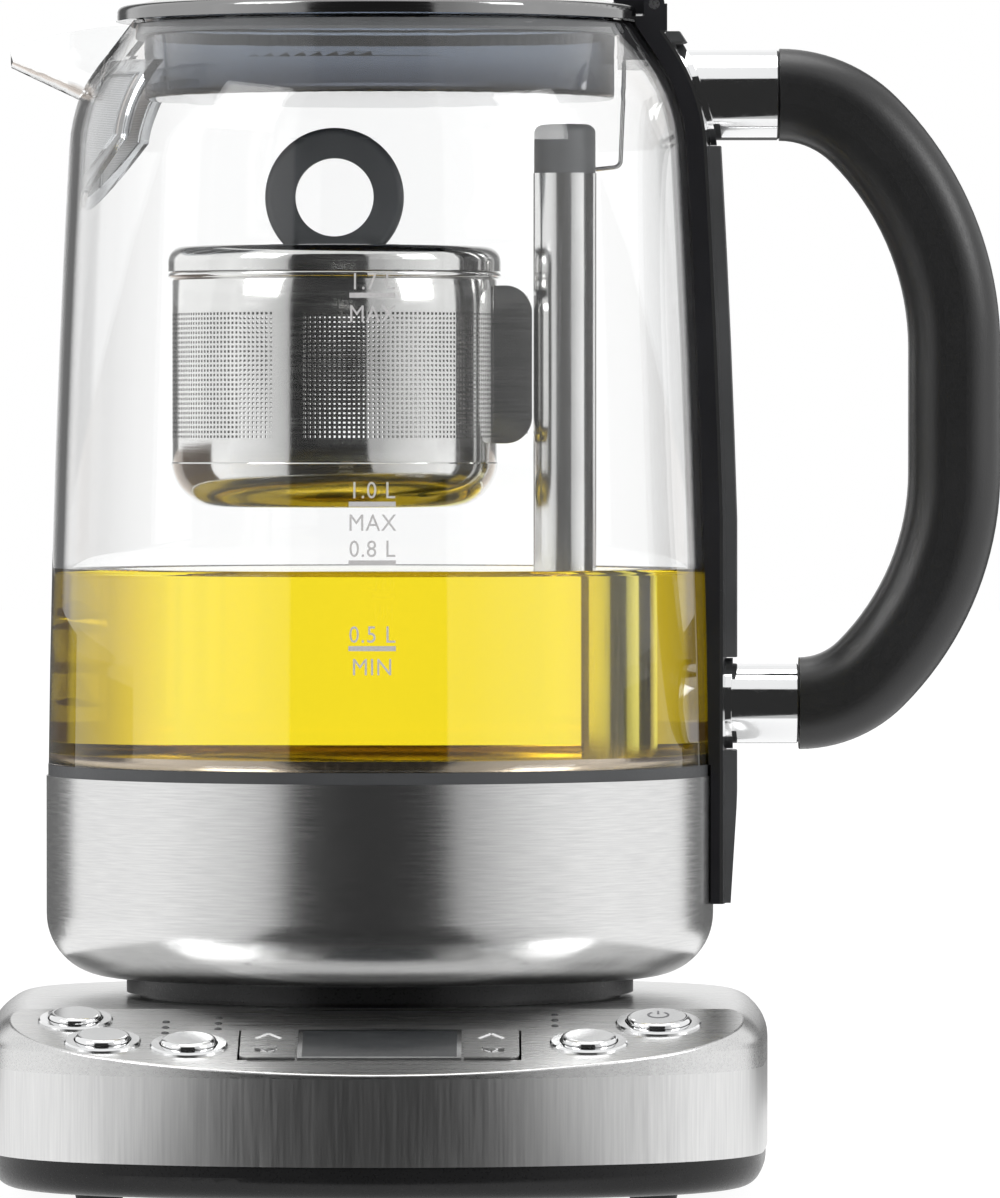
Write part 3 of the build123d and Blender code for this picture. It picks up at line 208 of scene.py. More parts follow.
# Degrees round from straight behind, how bright the surround is there and how warm: low
# down, where it stands behind the tea, and above that.
LEVEL_SHADES = ((0, 1.0, 0), (13, 0.97, 0), (17, 0.95, 0), (21, 0.87, 0.15),
                (25, 0.74, 0.25), (30, 0.57, 0.3), (38, 0.44, 0.3), (44, 0.34, 0.3),
                (47, 0.07, 1), (84, 0.05, 1), (90, 1.0, 0), (100, 1.0, 0),
                (114, 0.88, 0), (127, 0.77, 0), (139, 0.65, 0), (149, 0.5, 0))
UPPER_SHADES = ((0, 1.0, 0), (5, 0.95, 0), (8, 0.78, 0), (12, 0.62, 0), (16, 0.4, 0),
                (20, 0.14, 0), (33, 0.14, 0), (38, 1.0, 0), (100, 1.0, 0), (114, 0.88, 0),
                (127, 0.77, 0), (139, 0.65, 0), (149, 0.5, 0))
UPPER_FROM = 0.12
SURROUND_GLOW = 1.1
LESS_GREEN, LESS_BLUE = 0.4, 0.7               # what full warmth takes away
surround, tree = new_material("surround")
parts = object_parts(tree)
aside = calculated(tree, "ABSOLUTE", parts["X"])
bearing = calculated(tree, "ARCTAN2", aside, parts["Y"])
half_turns = calculated(tree, "DIVIDE", bearing, math.pi)
above = calculated(tree, "GREATER_THAN", parts["Z"], UPPER_FROM)
level_mix = node(tree, "ShaderNodeMix", {FACTOR: above}, data_type="RGBA")
for slot, shades in ((COLOR_A, LEVEL_SHADES), (COLOR_B, UPPER_SHADES)):
    ramp = node(tree, "ShaderNodeValToRGB", {0: half_turns})
    stops = ramp.color_ramp.elements
    for k, (degrees, shade, warm) in enumerate(shades):
        stop = stops[k] if k < 2 else stops.new(degrees / 180)
        stop.position = degrees / 180
        stop.color = (shade, shade * (1 - LESS_GREEN * warm),
                      shade * (1 - LESS_BLUE * warm), 1)
    tree.links.new(ramp.outputs[0], level_mix.inputs[slot])
wire_out(tree, glowing(tree, level_mix.outputs[COLOR_RESULT], SURROUND_GLOW))

REAR_AWAY = 2.4
REAR_TALL = 2.4
REAR_BEARINGS = (0, 20, 35, 50, 66, 84)
GLOSS_UNTIL = 50            # bearing past which gloss sees no rear sheet
FOOT_NEAR = 0.13            # how near the feet come, as a share of the distance
WING_END, WING_FOOT = (3.6, -0.8), (0.4, -0.06)
edge_cloth = plain_cloth("edge_cloth", 0.13)
for name, side, cloth_end, table_end in (("left", -1, CLOTH_LEFT, TABLE_LEFT),
                                         ("right", 1, CLOTH_RIGHT, TABLE_RIGHT)):
    for k, (first, last) in enumerate(zip(REAR_BEARINGS, REAR_BEARINGS[1:])):
        start, end = [(side * REAR_AWAY * math.sin(math.radians(turn)),
                       REAR_AWAY * math.cos(math.radians(turn))) for turn in (first, last)]
        low = upright(start, end, 0.0, UPPER_FROM)
        foot = laid(start, end, *((x * FOOT_NEAR, y * FOOT_NEAR) for x, y in (end, start)))
        in_gloss = first < GLOSS_UNTIL
        cloth(f"{name}_rear_{k}", low, surround, seen_by_gloss=False)
        cloth(f"{name}_rear_top_{k}", upright(start, end, UPPER_FROM, REAR_TALL), surround,
              seen_by_gloss=in_gloss)
        cloth(f"{name}_rear_foot_{k}", foot, surround, seen_by_gloss=False)
        if in_gloss:
            cloth(f"{name}_edge_{k}", low, edge_cloth, seen_by_glass=False)
            cloth(f"{name}_edge_foot_{k}", foot, edge_cloth, seen_by_glass=False)
    wing_end, wing_foot = [(side * x, y) for x, y in (WING_END, WING_FOOT)]
    cloth(name + "_wing", upright(cloth_end, wing_end, 0.0, CLOTH_TALL), surround)
    cloth(name + "_wing_foot", laid(cloth_end, wing_end, wing_foot, table_end), surround)

LAMP_AIM = Vector((0, 0, 0.14))
for name, place, size, power in (("left_softbox", (-2.2, -1.6, 1.6), 1.4, 26),
                                 ("right_softbox", (2.3, -1.2, 1.3), 1.2, 20),
                                 ("top_softbox", (0.1, 0.2, 2.6), 1.6, 22)):
    lamp = bpy.data.lights.new(name, "AREA")
    lamp.shape = "SQUARE"
    lamp.size = size
    lamp.energy = power
    softbox = placed(name, lamp)
    softbox.location = place
    softbox.rotation_euler = (LAMP_AIM - Vector(place)).to_track_quat("-Z", "Y").to_euler()


# ----------------------------------------------------------------- brushed steel casing
# The base's top plate and side band and the jug's shell are stainless sheet, ground with
# a belt: up and down on the band, round on the shell, from side to side on the plate.
def principled(tree, color, metallic, roughness, normal=None, others=()):
    """Principled shader wired to an output."""
    inputs = {"Base Color": color, "Metallic": metallic, "Roughness": roughness}
    if normal is not None:
        inputs["Normal"] = normal
    inputs.update(others)
    wire_out(tree, node(tree, "ShaderNodeBsdfPrincipled", inputs).outputs[0])


def stretched(tree, scale):
    """Object coordinates, stretched by a scale for each axis."""
    place = node(tree, "ShaderNodeTexCoord").outputs["Object"]
    return node(tree, "ShaderNodeMapping", {"Scale": scale, "Vector": place}).outputs[0]


def round_axis(tree, centre, around, up):
    """Coordinates that run round an upright axis: angle, height and nothing."""
    parts = object_parts(tree)
    angle = calculated(tree, "ARCTAN2", calculated(tree, "SUBTRACT", parts["X"], centre.x),
                       calculated(tree, "SUBTRACT", parts["Y"], centre.y))
    return node(tree, "ShaderNodeCombineXYZ",
                {"X": calculated(tree, "MULTIPLY", angle, around),
                 "Y": calculated(tree, "MULTIPLY", parts["Z"], up)}).outputs[0]


def noise(tree, scale, detail, centre=None):
    """Noise over stretched coordinates, or over ones that run round a centre."""
    vector = round_axis(tree, centre, *scale) if centre else stretched(tree, scale)
    return node(tree, "ShaderNodeTexNoise",
                {"Scale": 1.0, "Detail": detail, "Vector": vector}).outputs["Fac"]


def to_range(tree, value, low=0, high=1, start=0.3, end=0.7):
    """Value spread from a span, by itself the one that noise fills, to another."""
    return node(tree, "ShaderNodeMapRange",
                {"From Min": start, "From Max": end, "To Min": low, "To Max": high,
                 "Value": value}).outputs[0]


def between(tree, value, dark, light):
    """Colour between two, led by a value from nought to one."""
    return node(tree, "ShaderNodeMix", {FACTOR: value, COLOR_A: (*dark, 1),
                                        COLOR_B: (*light, 1)},
                data_type="RGBA").outputs[COLOR_RESULT]


def bumped(tree, value, strength, distance=0.0001):
    """Normal with the relief of a value."""
    return node(tree, "ShaderNodeBump", {"Strength": strength, "Distance": distance,
                                         "Height": value}).outputs[0]


def brushed(name, scale, dark, light, rough, depth, vary=0.02, centre=None):
    """Ground stainless: long fine scratches in colour, roughness and relief."""
    material, tree = new_material(name)
    grain = noise(tree, scale, 3.0, centre)
    principled(tree, between(tree, to_range(tree, grain), dark, light), 1.0,
               to_range(tree, grain, rough - vary, rough + vary), bumped(tree, grain, depth))
    return material


def dress(material, *names):
    """Give CAD pieces a finish."""
    for name in names:
        mesh = cad[name].data
        mesh.materials.clear()
        mesh.materials.append(material)
        for polygon in mesh.polygons:
            polygon.material_index = 0


steel_upright = brushed("steel_upright", (1500, 1500, 55), (0.64, 0.64, 0.64),
                        (0.74, 0.74, 0.735), 0.31, 0.012, vary=0.03)
steel_round = brushed("steel_round", (9, 2600), (0.64, 0.64, 0.64), (0.73, 0.73, 0.725),
                      0.24, 0.03, centre=AXIS)
steel_across = brushed("steel_across", (30, 1900, 1900), (0.60, 0.60, 0.60),
                       (0.69, 0.69, 0.685), 0.28, 0.012)
dress(steel_upright, "base_side_band")
dress(steel_across, "base_top_plate")
dress(steel_round, "jug_shell")


# ---------------------------------------------------------------------- pan and feet
# The pan under the base is moulded in black plastic with a fine spark texture. Five
# tapered rubber feet are pushed into it, and cross-headed screws hold it to the plate.
CLOUD_DARK, CLOUD_LIGHT = 0.82, 1.12


def plastic(name, color, rough, grain, depth, metallic=0.0, shine=0.5):
    """Moulded plastic or rubber with a fine eroded texture and slight cloudiness."""
    material, tree = new_material(name)
    fine = noise(tree, (grain, grain, grain), 3.0)
    cloud = noise(tree, (45, 45, 45), 2.0)
    darker = [c * CLOUD_DARK for c in color]
    lighter = [min(1.0, c * CLOUD_LIGHT) for c in color]
    principled(tree, between(tree, to_range(tree, cloud), darker, lighter), metallic,
               to_range(tree, fine, rough - 0.05, rough + 0.06), bumped(tree, fine, depth),
               {"Specular IOR Level": shine})
    return material


pan_black = plastic("pan_black", (0.010, 0.010, 0.0105), 0.30, 1800, 0.15, shine=0.3)
rubber = plastic("foot_rubber", (0.022, 0.022, 0.023), 0.62, 2600, 0.4)
bush_black = plastic("bush_black", (0.03, 0.03, 0.031), 0.48, 2000, 0.35)
dress(pan_black, "base_pan")
dress(rubber, "base_feet")
dress(bush_black, "cord_bush")


# ------------------------------------------------------------------ polished metal
# Trim, buttons and post are stainless or chromed steel, buffed until only faint hairs
# and a slight waviness are left. Machine screws are the same steel left duller.
def polished(name, light, rough, hairs, depth):
    """Buffed metal: faint hairs and a soft waviness in roughness and relief."""
    material, tree = new_material(name)
    hair = noise(tree, hairs, 3.0)
    wave = noise(tree, (60, 60, 60), 1.0)
    dark = [c * 0.94 for c in light]
    principled(tree, between(tree, to_range(tree, wave), dark, light), 1.0,
               to_range(tree, hair, max(0.02, rough - 0.03), rough + 0.04),
               bumped(tree, hair, depth, 0.00005))
    return material


chrome = polished("chrome", (0.86, 0.865, 0.87), 0.07, (700, 700, 700), 0.03)
mirror_steel = polished("mirror_steel", (0.80, 0.80, 0.795), 0.06, (300, 300, 1500), 0.03)
screw_steel = polished("screw_steel", (0.60, 0.60, 0.61), 0.28, (1500, 1500, 1500), 0.15)
magnet_metal = polished("magnet_metal", (0.66, 0.665, 0.67), 0.18, (900, 900, 900), 0.1)
brass = polished("brass", (0.83, 0.66, 0.32), 0.2, (1200, 1200, 1200), 0.08)
dress(chrome, "button_rings", "button_heat", "button_warm", "button_lift", "button_time",
      "button_power", "display_frame", "handle_ferrules", "strap_trim")
dress(mirror_steel, "stay_wire", "temperature_probe")
post_steel = polished("post_steel", (0.80, 0.80, 0.795), 0.15, (1500, 1500, 40), 0.04)
dress(post_steel, "post_tube")
dress(screw_steel, "base_screws", "bottom_screws", "hinge_pin", "handle_core",
      "lead_screw", "heating_element")
dress(magnet_metal, "infuser_magnets", "carriage_magnets")
dress(brass, "base_contacts", "jug_contacts")


# ---------------------------------------------------------------------------- display
# A smoked window in a thin chromed frame, with the display module under it. It is dark
# while the maker is off. The module, the lift's motor and the keys' brackets are grey.
smoked_window, tree = new_material("smoked_window")
haze = noise(tree, (160, 900, 160), 2.0)
principled(tree, between(tree, to_range(tree, haze), (0.03, 0.032, 0.035),
                         (0.055, 0.058, 0.06)), 0.0, to_range(tree, haze, 0.05, 0.12))
dress(smoked_window, "display_window")
module_grey = plastic("module_grey", (0.06, 0.062, 0.065), 0.5, 1500, 0.3)
dress(module_grey, "display_module", "lift_motor", "key_brackets")


# ------------------------------------------------------------------------ rocker keys
# Two rocker keys stand beside the display, steel capped like the plate. Each has a
# printed upward chevron at the back, and a small raised one under a dash at the front.
dress(steel_across, "rocker_left", "rocker_right")


def bvh_of(name):
    """Search tree of a CAD piece, for laying prints and dots on it."""
    mesh = cad[name].data
    return BVHTree.FromPolygons([v.co[:] for v in mesh.vertices],
                                [p.vertices[:] for p in mesh.polygons])


OVER_BASE = 0.1             # height from which the base's pieces are looked down on


def top_of(name):
    """Function that tells the height of a CAD piece's top at a place."""
    piece = bvh_of(name)
    return lambda x, y: piece.ray_cast(Vector((x, y, OVER_BASE)), Vector((0, 0, -1)))[0].z


def object_from(name, form, *materials):
    """Object with the mesh of a finished form."""
    mesh = bpy.data.meshes.new(name)
    form.to_mesh(mesh)
    form.free()
    for material in materials:
        mesh.materials.append(material)
    return placed(name, mesh)


def laid_mesh(name, material, body, shapes, height_at, lift):
    """Flat shapes laid on a surface as thin closed prints."""
    form = bmesh.new()
    for shape in shapes:
        top = [form.verts.new((x, y, height_at(x, y) + lift)) for x, y in shape]
        bottom = [form.verts.new((x, y, height_at(x, y) - lift)) for x, y in shape]
        form.faces.new(top)
        form.faces.new(bottom[::-1])
        for k in range(len(shape)):
            n = (k + 1) % len(shape)
            form.faces.new((top[k], bottom[k], bottom[n], top[n]))
    bmesh.ops.recalc_face_normals(form, faces=form.faces)
    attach(object_from(name, form, material), body)


def thick_line(points, width):
    """Quads along a bent line."""
    quads = []
    for a, b in zip(points, points[1:]):
        along = Vector((b[0] - a[0], b[1] - a[1])).normalized()
        side = Vector((-along.y, along.x)) * width / 2
        quads.append([(a[0] - side.x, a[1] - side.y), (b[0] - side.x, b[1] - side.y),
                      (b[0] + side.x, b[1] + side.y), (a[0] + side.x, a[1] + side.y)])
    return quads


print_white = plastic("print_white", (0.86, 0.86, 0.86), 0.5, 1500, 0.1)
raised_steel = polished("raised_steel", (0.78, 0.78, 0.78), 0.16, (900, 900, 900), 0.05)
CHEVRON_HALF, CHEVRON_DEEP, CHEVRON_WIDE = 0.0026, 0.0036, 0.0008
CHEVRON_IN = 0.0047         # from the key's back edge
KEY_MARK_HALF, KEY_MARK_DEEP, KEY_MARK_WIDE = 0.0019, 0.002, 0.0006
KEY_MARK_IN = 0.0062            # from the key's front edge
DASH_HALF, DASH_BEHIND = 0.0021, 0.0012
PRINT_LIFT, RAISED_LIFT = 0.00008, 0.00015
for side in ("left", "right"):
    key = "rocker_" + side
    key_low, key_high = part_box(key)
    key_top = top_of(key)
    middle = (key_low.x + key_high.x) / 2
    back = key_high.y - CHEVRON_IN
    front = key_low.y + KEY_MARK_IN
    up = [(middle - CHEVRON_HALF, back - CHEVRON_DEEP), (middle, back),
          (middle + CHEVRON_HALF, back - CHEVRON_DEEP)]
    down = [(middle - KEY_MARK_HALF, front), (middle, front - KEY_MARK_DEEP),
            (middle + KEY_MARK_HALF, front)]
    dash = [(middle + end * DASH_HALF, front + DASH_BEHIND) for end in (-1, 1)]
    laid_mesh("chevron_" + side, print_white, key, thick_line(up, CHEVRON_WIDE), key_top,
              PRINT_LIFT)
    laid_mesh("key_mark_" + side, raised_steel, key,
              thick_line(down, KEY_MARK_WIDE) + thick_line(dash, KEY_MARK_WIDE), key_top,
              RAISED_LIFT)


# --------------------------------------------------------------------- indicator dots
# Three columns of three small dark lenses tell the heat, strength and time that are
# set. Each is a domed light pipe pushed up through a hole in the plate.
DOT_RADIUS = 0.00085
DOT_RISE = 0.00022
DOT_DEEP = 0.0003
DOT_STEP = 0.0042
DOT_SIDES = 16
DOT_COLUMNS = ((-0.0722, -0.0590), (-0.0607, -0.0560), (0.0128, -0.0536))
DOT_DOME = ((1.0, -DOT_DEEP), (1.0, DOT_RISE * 0.3), (0.75, DOT_RISE * 0.8),
            (0.4, DOT_RISE * 0.97))            # share of the radius, height over the plate
lens_dark = plastic("lens_dark", (0.02, 0.021, 0.023), 0.15, 900, 0.05)
plate_top = top_of("base_top_plate")


def bridged(form, low_ring, high_ring):
    """Faces between two rings of as many points."""
    for s in range(len(low_ring)):
        n = (s + 1) % len(low_ring)
        form.faces.new((low_ring[s], low_ring[n], high_ring[n], high_ring[s]))


dots = bmesh.new()
for column_x, column_y in DOT_COLUMNS:
    for k in (-1, 0, 1):
        rings = []
        for share, rise in DOT_DOME:
            ring = []
            for s in range(DOT_SIDES):
                a = 2 * math.pi * s / DOT_SIDES
                x = column_x + DOT_RADIUS * share * math.cos(a)
                y = column_y + k * DOT_STEP + DOT_RADIUS * share * math.sin(a)
                ring.append(dots.verts.new((x, y, plate_top(x, y) + rise)))
            rings.append(ring)
        for low_ring, high_ring in zip(rings, rings[1:]):
            bridged(dots, low_ring, high_ring)
        dots.faces.new(rings[-1])
        dots.faces.new(rings[0][::-1])
bmesh.ops.recalc_face_normals(dots, faces=dots.faces)
indicator_dots = object_from("indicator_dots", dots, lens_dark)
indicator_dots.data.shade_smooth()
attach(indicator_dots, "base")


# ----------------------------------------------------------------------- power symbol
# The largest button carries the usual power symbol, an open ring with a bar, pressed
# into its cap and filled with grey paint.
SYMBOL_RADIUS, SYMBOL_WIDE, SYMBOL_LIFT = 0.0022, 0.0005, 0.00006
SYMBOL_GAP = 38             # degrees of the ring left open to either side of the bar
SYMBOL_STEPS = 18
BAR_FROM, BAR_TO = 0.0006, 0.0029
power_low, power_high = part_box("button_power")
power_x, power_y = (power_low.x + power_high.x) / 2, (power_low.y + power_high.y) / 2
symbol_grey = plastic("symbol_grey", (0.16, 0.16, 0.17), 0.4, 1500, 0.1)
arc = []
for k in range(SYMBOL_STEPS + 1):
    a = math.radians(90 + SYMBOL_GAP + (360 - 2 * SYMBOL_GAP) * k / SYMBOL_STEPS)
    arc.append((power_x + SYMBOL_RADIUS * math.cos(a), power_y + SYMBOL_RADIUS * math.sin(a)))
bar = [(power_x, power_y + BAR_FROM), (power_x, power_y + BAR_TO)]
laid_mesh("power_symbol", symbol_grey, "button_power",
          thick_line(arc, SYMBOL_WIDE) + thick_line(bar, SYMBOL_WIDE),
          top_of("button_power"), SYMBOL_LIFT)


# --------------------------------------------------- boards, connector and carriage
# Inside the base are two glass-epoxy boards. The round connector in the middle is glossy
# black plastic, and brass contacts meet their mates under the jug. The carriage that
# takes the magnets up the post is moulded in white plastic.
board_green, tree = new_material("board_green")
weave = node(tree, "ShaderNodeTexChecker",
             {"Scale": 900, "Color1": (0.018, 0.15, 0.055, 1),
              "Color2": (0.03, 0.21, 0.08, 1), "Vector": stretched(tree, (1, 1, 1))}).outputs
principled(tree, weave["Color"], 0.0, 0.35, bumped(tree, weave["Fac"], 0.1))
dress(board_green, "control_board", "power_board")
gloss_black = plastic("gloss_black", (0.016, 0.016, 0.018), 0.16, 500, 0.04)
dress(gloss_black, "base_connector", "jug_connector", "hinge_block", "lid_hinge_arm",
      "handle_strap")
dress(pan_black, "jug_bottom_plate")
carriage_white = plastic("carriage_white", (0.62, 0.62, 0.60), 0.4, 1500, 0.1)
dress(carriage_white, "magnet_carriage")


# -------------------------------------------------------------------- gasket and seals
# Dark silicone seals the glass to the steel shell and the post to the heater plate. A
# lighter grey one caps the post and makes the lid's seal and the infuser's ring handle.
silicone = plastic("grey_silicone", (0.085, 0.09, 0.095), 0.46, 1600, 0.2)
seal_dark = plastic("seal_dark", (0.05, 0.052, 0.055), 0.42, 1600, 0.2)
dress(silicone, "infuser_ring", "post_cap", "lid_seal")
dress(seal_dark, "jug_seals")


# -------------------------------------------------------------------------- jug glass
# The jug is blown borosilicate glass, clear with a breath of grey, fire polished at the
# rim. Its wall is 2.5 mm thick and very slightly uneven.
def clear_shell(name, tint, ior, rough, uneven, wave):
    """Glass or clear plastic that lets plain light through, so that it casts no shadow."""
    material, tree = new_material(name)
    ripple = bumped(tree, noise(tree, uneven, 1.0), wave, 0.0004)
    shader = node(tree, "ShaderNodeBsdfPrincipled",
                  {"Base Color": (*tint, 1), "Roughness": rough, "IOR": ior,
                   "Transmission Weight": 1.0, "Normal": ripple})
    clear = node(tree, "ShaderNodeBsdfTransparent", {"Color": (*tint, 1)}).outputs[0]
    rays = node(tree, "ShaderNodeLightPath").outputs
    plain = calculated(tree, "MAXIMUM", rays["Is Shadow Ray"], rays["Is Diffuse Ray"])
    out = wire_out(tree, mixed(tree, plain, shader.outputs[0], clear))
    return material, tree, shader, out


jug_glass = clear_shell("jug_glass", (0.992, 0.994, 0.994), 1.45, 0.0, (30, 30, 9), 0.05)[0]
dress(jug_glass, "glass_body")


# --------------------------------------------------------------------------------- tea
# The jug holds about three quarters of a litre of yellow tea. It touches the glass all
# round, climbs a little at the wall, and darkens with the depth that is looked through.
TEA_LEVEL = 0.1373
TEA_INTO_GLASS = 0.00025
TEA_FROM = 0.0001           # below the heater plate's top
TEA_RINGS = 23
TEA_DENSITY = 28.0
TEA_DYE = (1.0, 0.94, 0.05)
MENISCUS, MENISCUS_WIDE, MENISCUS_IN = 0.0013, 0.0042, 0.0003
TURNED_SIDES = 180
DISH_ROUND = 0.0075
DISH_RISE = 0.0062
DISH_LIP = 0.0006
SHARP = math.radians(40)
glass_tree = bvh_of("glass_body")
heater_low, heater_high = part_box("heater_plate")


def inside_radius(z):
    """Radius of the glass's inner side at a height."""
    start = Vector((AXIS.x, AXIS.y, z))
    return (glass_tree.ray_cast(start, Vector((0, 1, 0)))[0] - start).length


def turned(name, profile, centre, sides, closed=False):
    """Object turned about an upright axis from (radius, height) points, foot to top."""
    form = bmesh.new()
    rings = []
    for radius, height in profile:
        if radius < 1e-6:
            rings.append([form.verts.new((centre.x, centre.y, height))])
            continue
        rings.append([form.verts.new((centre.x + radius * math.cos(2 * math.pi * s / sides),
                                      centre.y + radius * math.sin(2 * math.pi * s / sides),
                                      height)) for s in range(sides)])
    pairs = list(zip(rings, rings[1:]))
    if closed:
        pairs.append((rings[-1], rings[0]))
    for low_ring, high_ring in pairs:
        if len(low_ring) == len(high_ring):
            bridged(form, low_ring, high_ring)
            continue
        for s in range(sides):
            n = (s + 1) % sides
            if len(low_ring) == 1:
                form.faces.new((low_ring[0], high_ring[n], high_ring[s]))
            else:
                form.faces.new((low_ring[s], low_ring[n], high_ring[0]))
    bmesh.ops.recalc_face_normals(form, faces=form.faces)
    obj = object_from(name, form)
    obj.data.shade_smooth()
    return obj


def round_corner(centre_r, centre_z, radius, start, end, steps):
    """Points of an arc in a (radius, height) profile, angles in degrees."""
    points = []
    for k in range(steps + 1):
        a = math.radians(start + (end - start) * k / steps)
        points.append((centre_r + radius * math.cos(a), centre_z + radius * math.sin(a)))
    return points


dish_radius = (heater_high.x - heater_low.x) / 2
dish_top = heater_high.z + DISH_RISE
dish = [(0.0, heater_low.z), (dish_radius, heater_low.z), (dish_radius, heater_high.z),
        (dish_radius + DISH_LIP, dish_top), (dish_radius, dish_top),
        *round_corner(dish_radius - DISH_ROUND, heater_high.z + DISH_ROUND, DISH_ROUND,
                      -12, -90, 12),
        (0.0, heater_high.z)]
heater_dish = turned("heater_dish", dish, AXIS, TURNED_SIDES)
heater_dish.data.set_sharp_from_angle(angle=SHARP)
heater_dish.data.materials.append(polished("dish_steel", (0.50, 0.42, 0.33), 0.16,
                                           (900, 900, 900), 0.05))
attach(heater_dish, "jug")
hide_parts("heater_plate")

tea_floor = heater_high.z - TEA_FROM
foot_radius = inside_radius(tea_floor + 0.001) + TEA_INTO_GLASS
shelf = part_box("jug_seals")[1].z
profile = [(0.0, tea_floor), (foot_radius, tea_floor), (foot_radius, shelf)]
for k in range(TEA_RINGS + 1):
    z = shelf + 0.0002 + (TEA_LEVEL - shelf) * k / TEA_RINGS
    profile.append((inside_radius(z) + TEA_INTO_GLASS, z))
top_radius = profile[-1][0]
profile.append((top_radius, TEA_LEVEL + MENISCUS))
for share in (0.05, 0.15, 0.3, 0.5, 0.75, 1.0):
    climb = MENISCUS * (1 - share) ** 2.5
    profile.append((top_radius - MENISCUS_IN - MENISCUS_WIDE * share, TEA_LEVEL + climb))
profile.append((0.0, TEA_LEVEL))
tea = turned("tea", profile, AXIS, TURNED_SIDES)
tea_brew, tree, _, out = clear_shell("tea", (1.0, 1.0, 1.0), 1.333, 0.0, (60, 60, 60), 0.02)
dye = node(tree, "ShaderNodeVolumeAbsorption",
           {"Color": (*TEA_DYE, 1), "Density": TEA_DENSITY})
tree.links.new(dye.outputs[0], out.inputs["Volume"])
tea.data.materials.append(tea_brew)
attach(tea, "jug")


# ------------------------------------------------------------------------ level marks
# The levels are screen printed on the outside of the glass in white enamel and fired:
# the volume over each line, and the words for the least and most.
MARK_ASIDE = -0.0009        # of the line's middle from the jug's axis
LINE_LONG, LINE_THICK, LINE_PIECES = 0.0104, 0.0011, 12
MARK_FONT = 0.0052
MARK_NARROW = 0.92
WORDS_OVER, WORDS_UNDER = 0.0013, -0.0058
MARK_OUT, MARK_THICK = 0.00012, 0.00004
GLASS_RADIUS, PAST_GLASS = 0.0743, 0.09
mark_enamel, tree = new_material("mark_enamel")
speck = noise(tree, (2500, 2500, 2500), 2.0)
principled(tree, between(tree, to_range(tree, speck), (0.42, 0.41, 0.41), (0.52, 0.51, 0.51)),
           0.0, 0.5, bumped(tree, speck, 0.1, 0.00005))
marks = bmesh.new()
for height, words, below in ((0.1990, "1.7 L", "MAX"), (0.1534, "1.0 L", "MAX"),
                             (0.1406, "0.8 L", ""), (0.1219, "0.5 L", "MIN")):
    for text, drop in ((words, WORDS_OVER), (below, WORDS_UNDER)):
        if not text:
            continue
        curve = bpy.data.curves.new("mark", "FONT")
        curve.body = text
        curve.size = MARK_FONT
        curve.align_x = "CENTER"
        curve.resolution_u = 3
        curve.space_character = 1.08
        letters = placed("mark", curve)
        flat = bpy.data.meshes.new_from_object(letters)
        bpy.data.objects.remove(letters)
        bpy.data.curves.remove(curve)
        for vert in flat.vertices:
            vert.co = Vector((AXIS.x + MARK_ASIDE + vert.co.x * MARK_NARROW, 0,
                              height + drop + vert.co.y))
        marks.from_mesh(flat)
        bpy.data.meshes.remove(flat)
    for k in range(LINE_PIECES):
        x0 = AXIS.x + MARK_ASIDE - LINE_LONG / 2 + LINE_LONG * k / LINE_PIECES
        x1 = x0 + LINE_LONG / LINE_PIECES
        low, high = height - LINE_THICK / 2, height + LINE_THICK / 2
        marks.faces.new([marks.verts.new((x, 0, z)) for x, z in
                         ((x0, low), (x1, low), (x1, high), (x0, high))])
for vert in marks.verts:                       # wrapped round the front of the glass
    angle = (vert.co.x - AXIS.x) / GLASS_RADIUS
    outward = Vector((math.sin(angle), -math.cos(angle), 0))
    start = Vector((AXIS.x, AXIS.y, vert.co.z)) + outward * PAST_GLASS
    vert.co = glass_tree.ray_cast(start, -outward)[0] + outward * MARK_OUT
bmesh.ops.remove_doubles(marks, verts=marks.verts, dist=0.000001)
bmesh.ops.recalc_face_normals(marks, faces=marks.faces)
bmesh.ops.solidify(marks, geom=marks.faces, thickness=MARK_THICK)
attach(object_from("level_marks", marks, mark_enamel), "jug")


# ----------------------------------------------------------------------- infuser cup
# The infuser is a deep-drawn steel cup with a rolled rim and a rounded foot. Three wide
# windows of fine square holes are etched in its wall, with a plain strip between them.
cup_low, cup_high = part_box("infuser_cup")
CUP_AXIS = Vector(((cup_low.x + cup_high.x) / 2, (cup_low.y + cup_high.y) / 2, 0))
CUP_RADIUS = 0.0365
CUP_WALL = 0.0009
CUP_ROUND = 0.0105
CUP_FLOOR = 0.001
RIM_OUT = (cup_high.x - cup_low.x) / 2
RIM_ROUND = 0.0008
HOLES_LOW = cup_low.z + 0.0153
HOLES_HIGH = cup_high.z - 0.0092
HOLE_ROWS = 27
HOLE_COLUMNS = 208
HOLE_SHARE = 0.54
BAND_WALL = 0.0005
STRIPS, STRIP_STEPS = 3, 12
STRIP_HALF = math.radians(4.2)
STRIP_TURN = math.radians(-90 - 15.4)
LAP = 0.0001                # how far the foot, the rim and the strips run on to the band


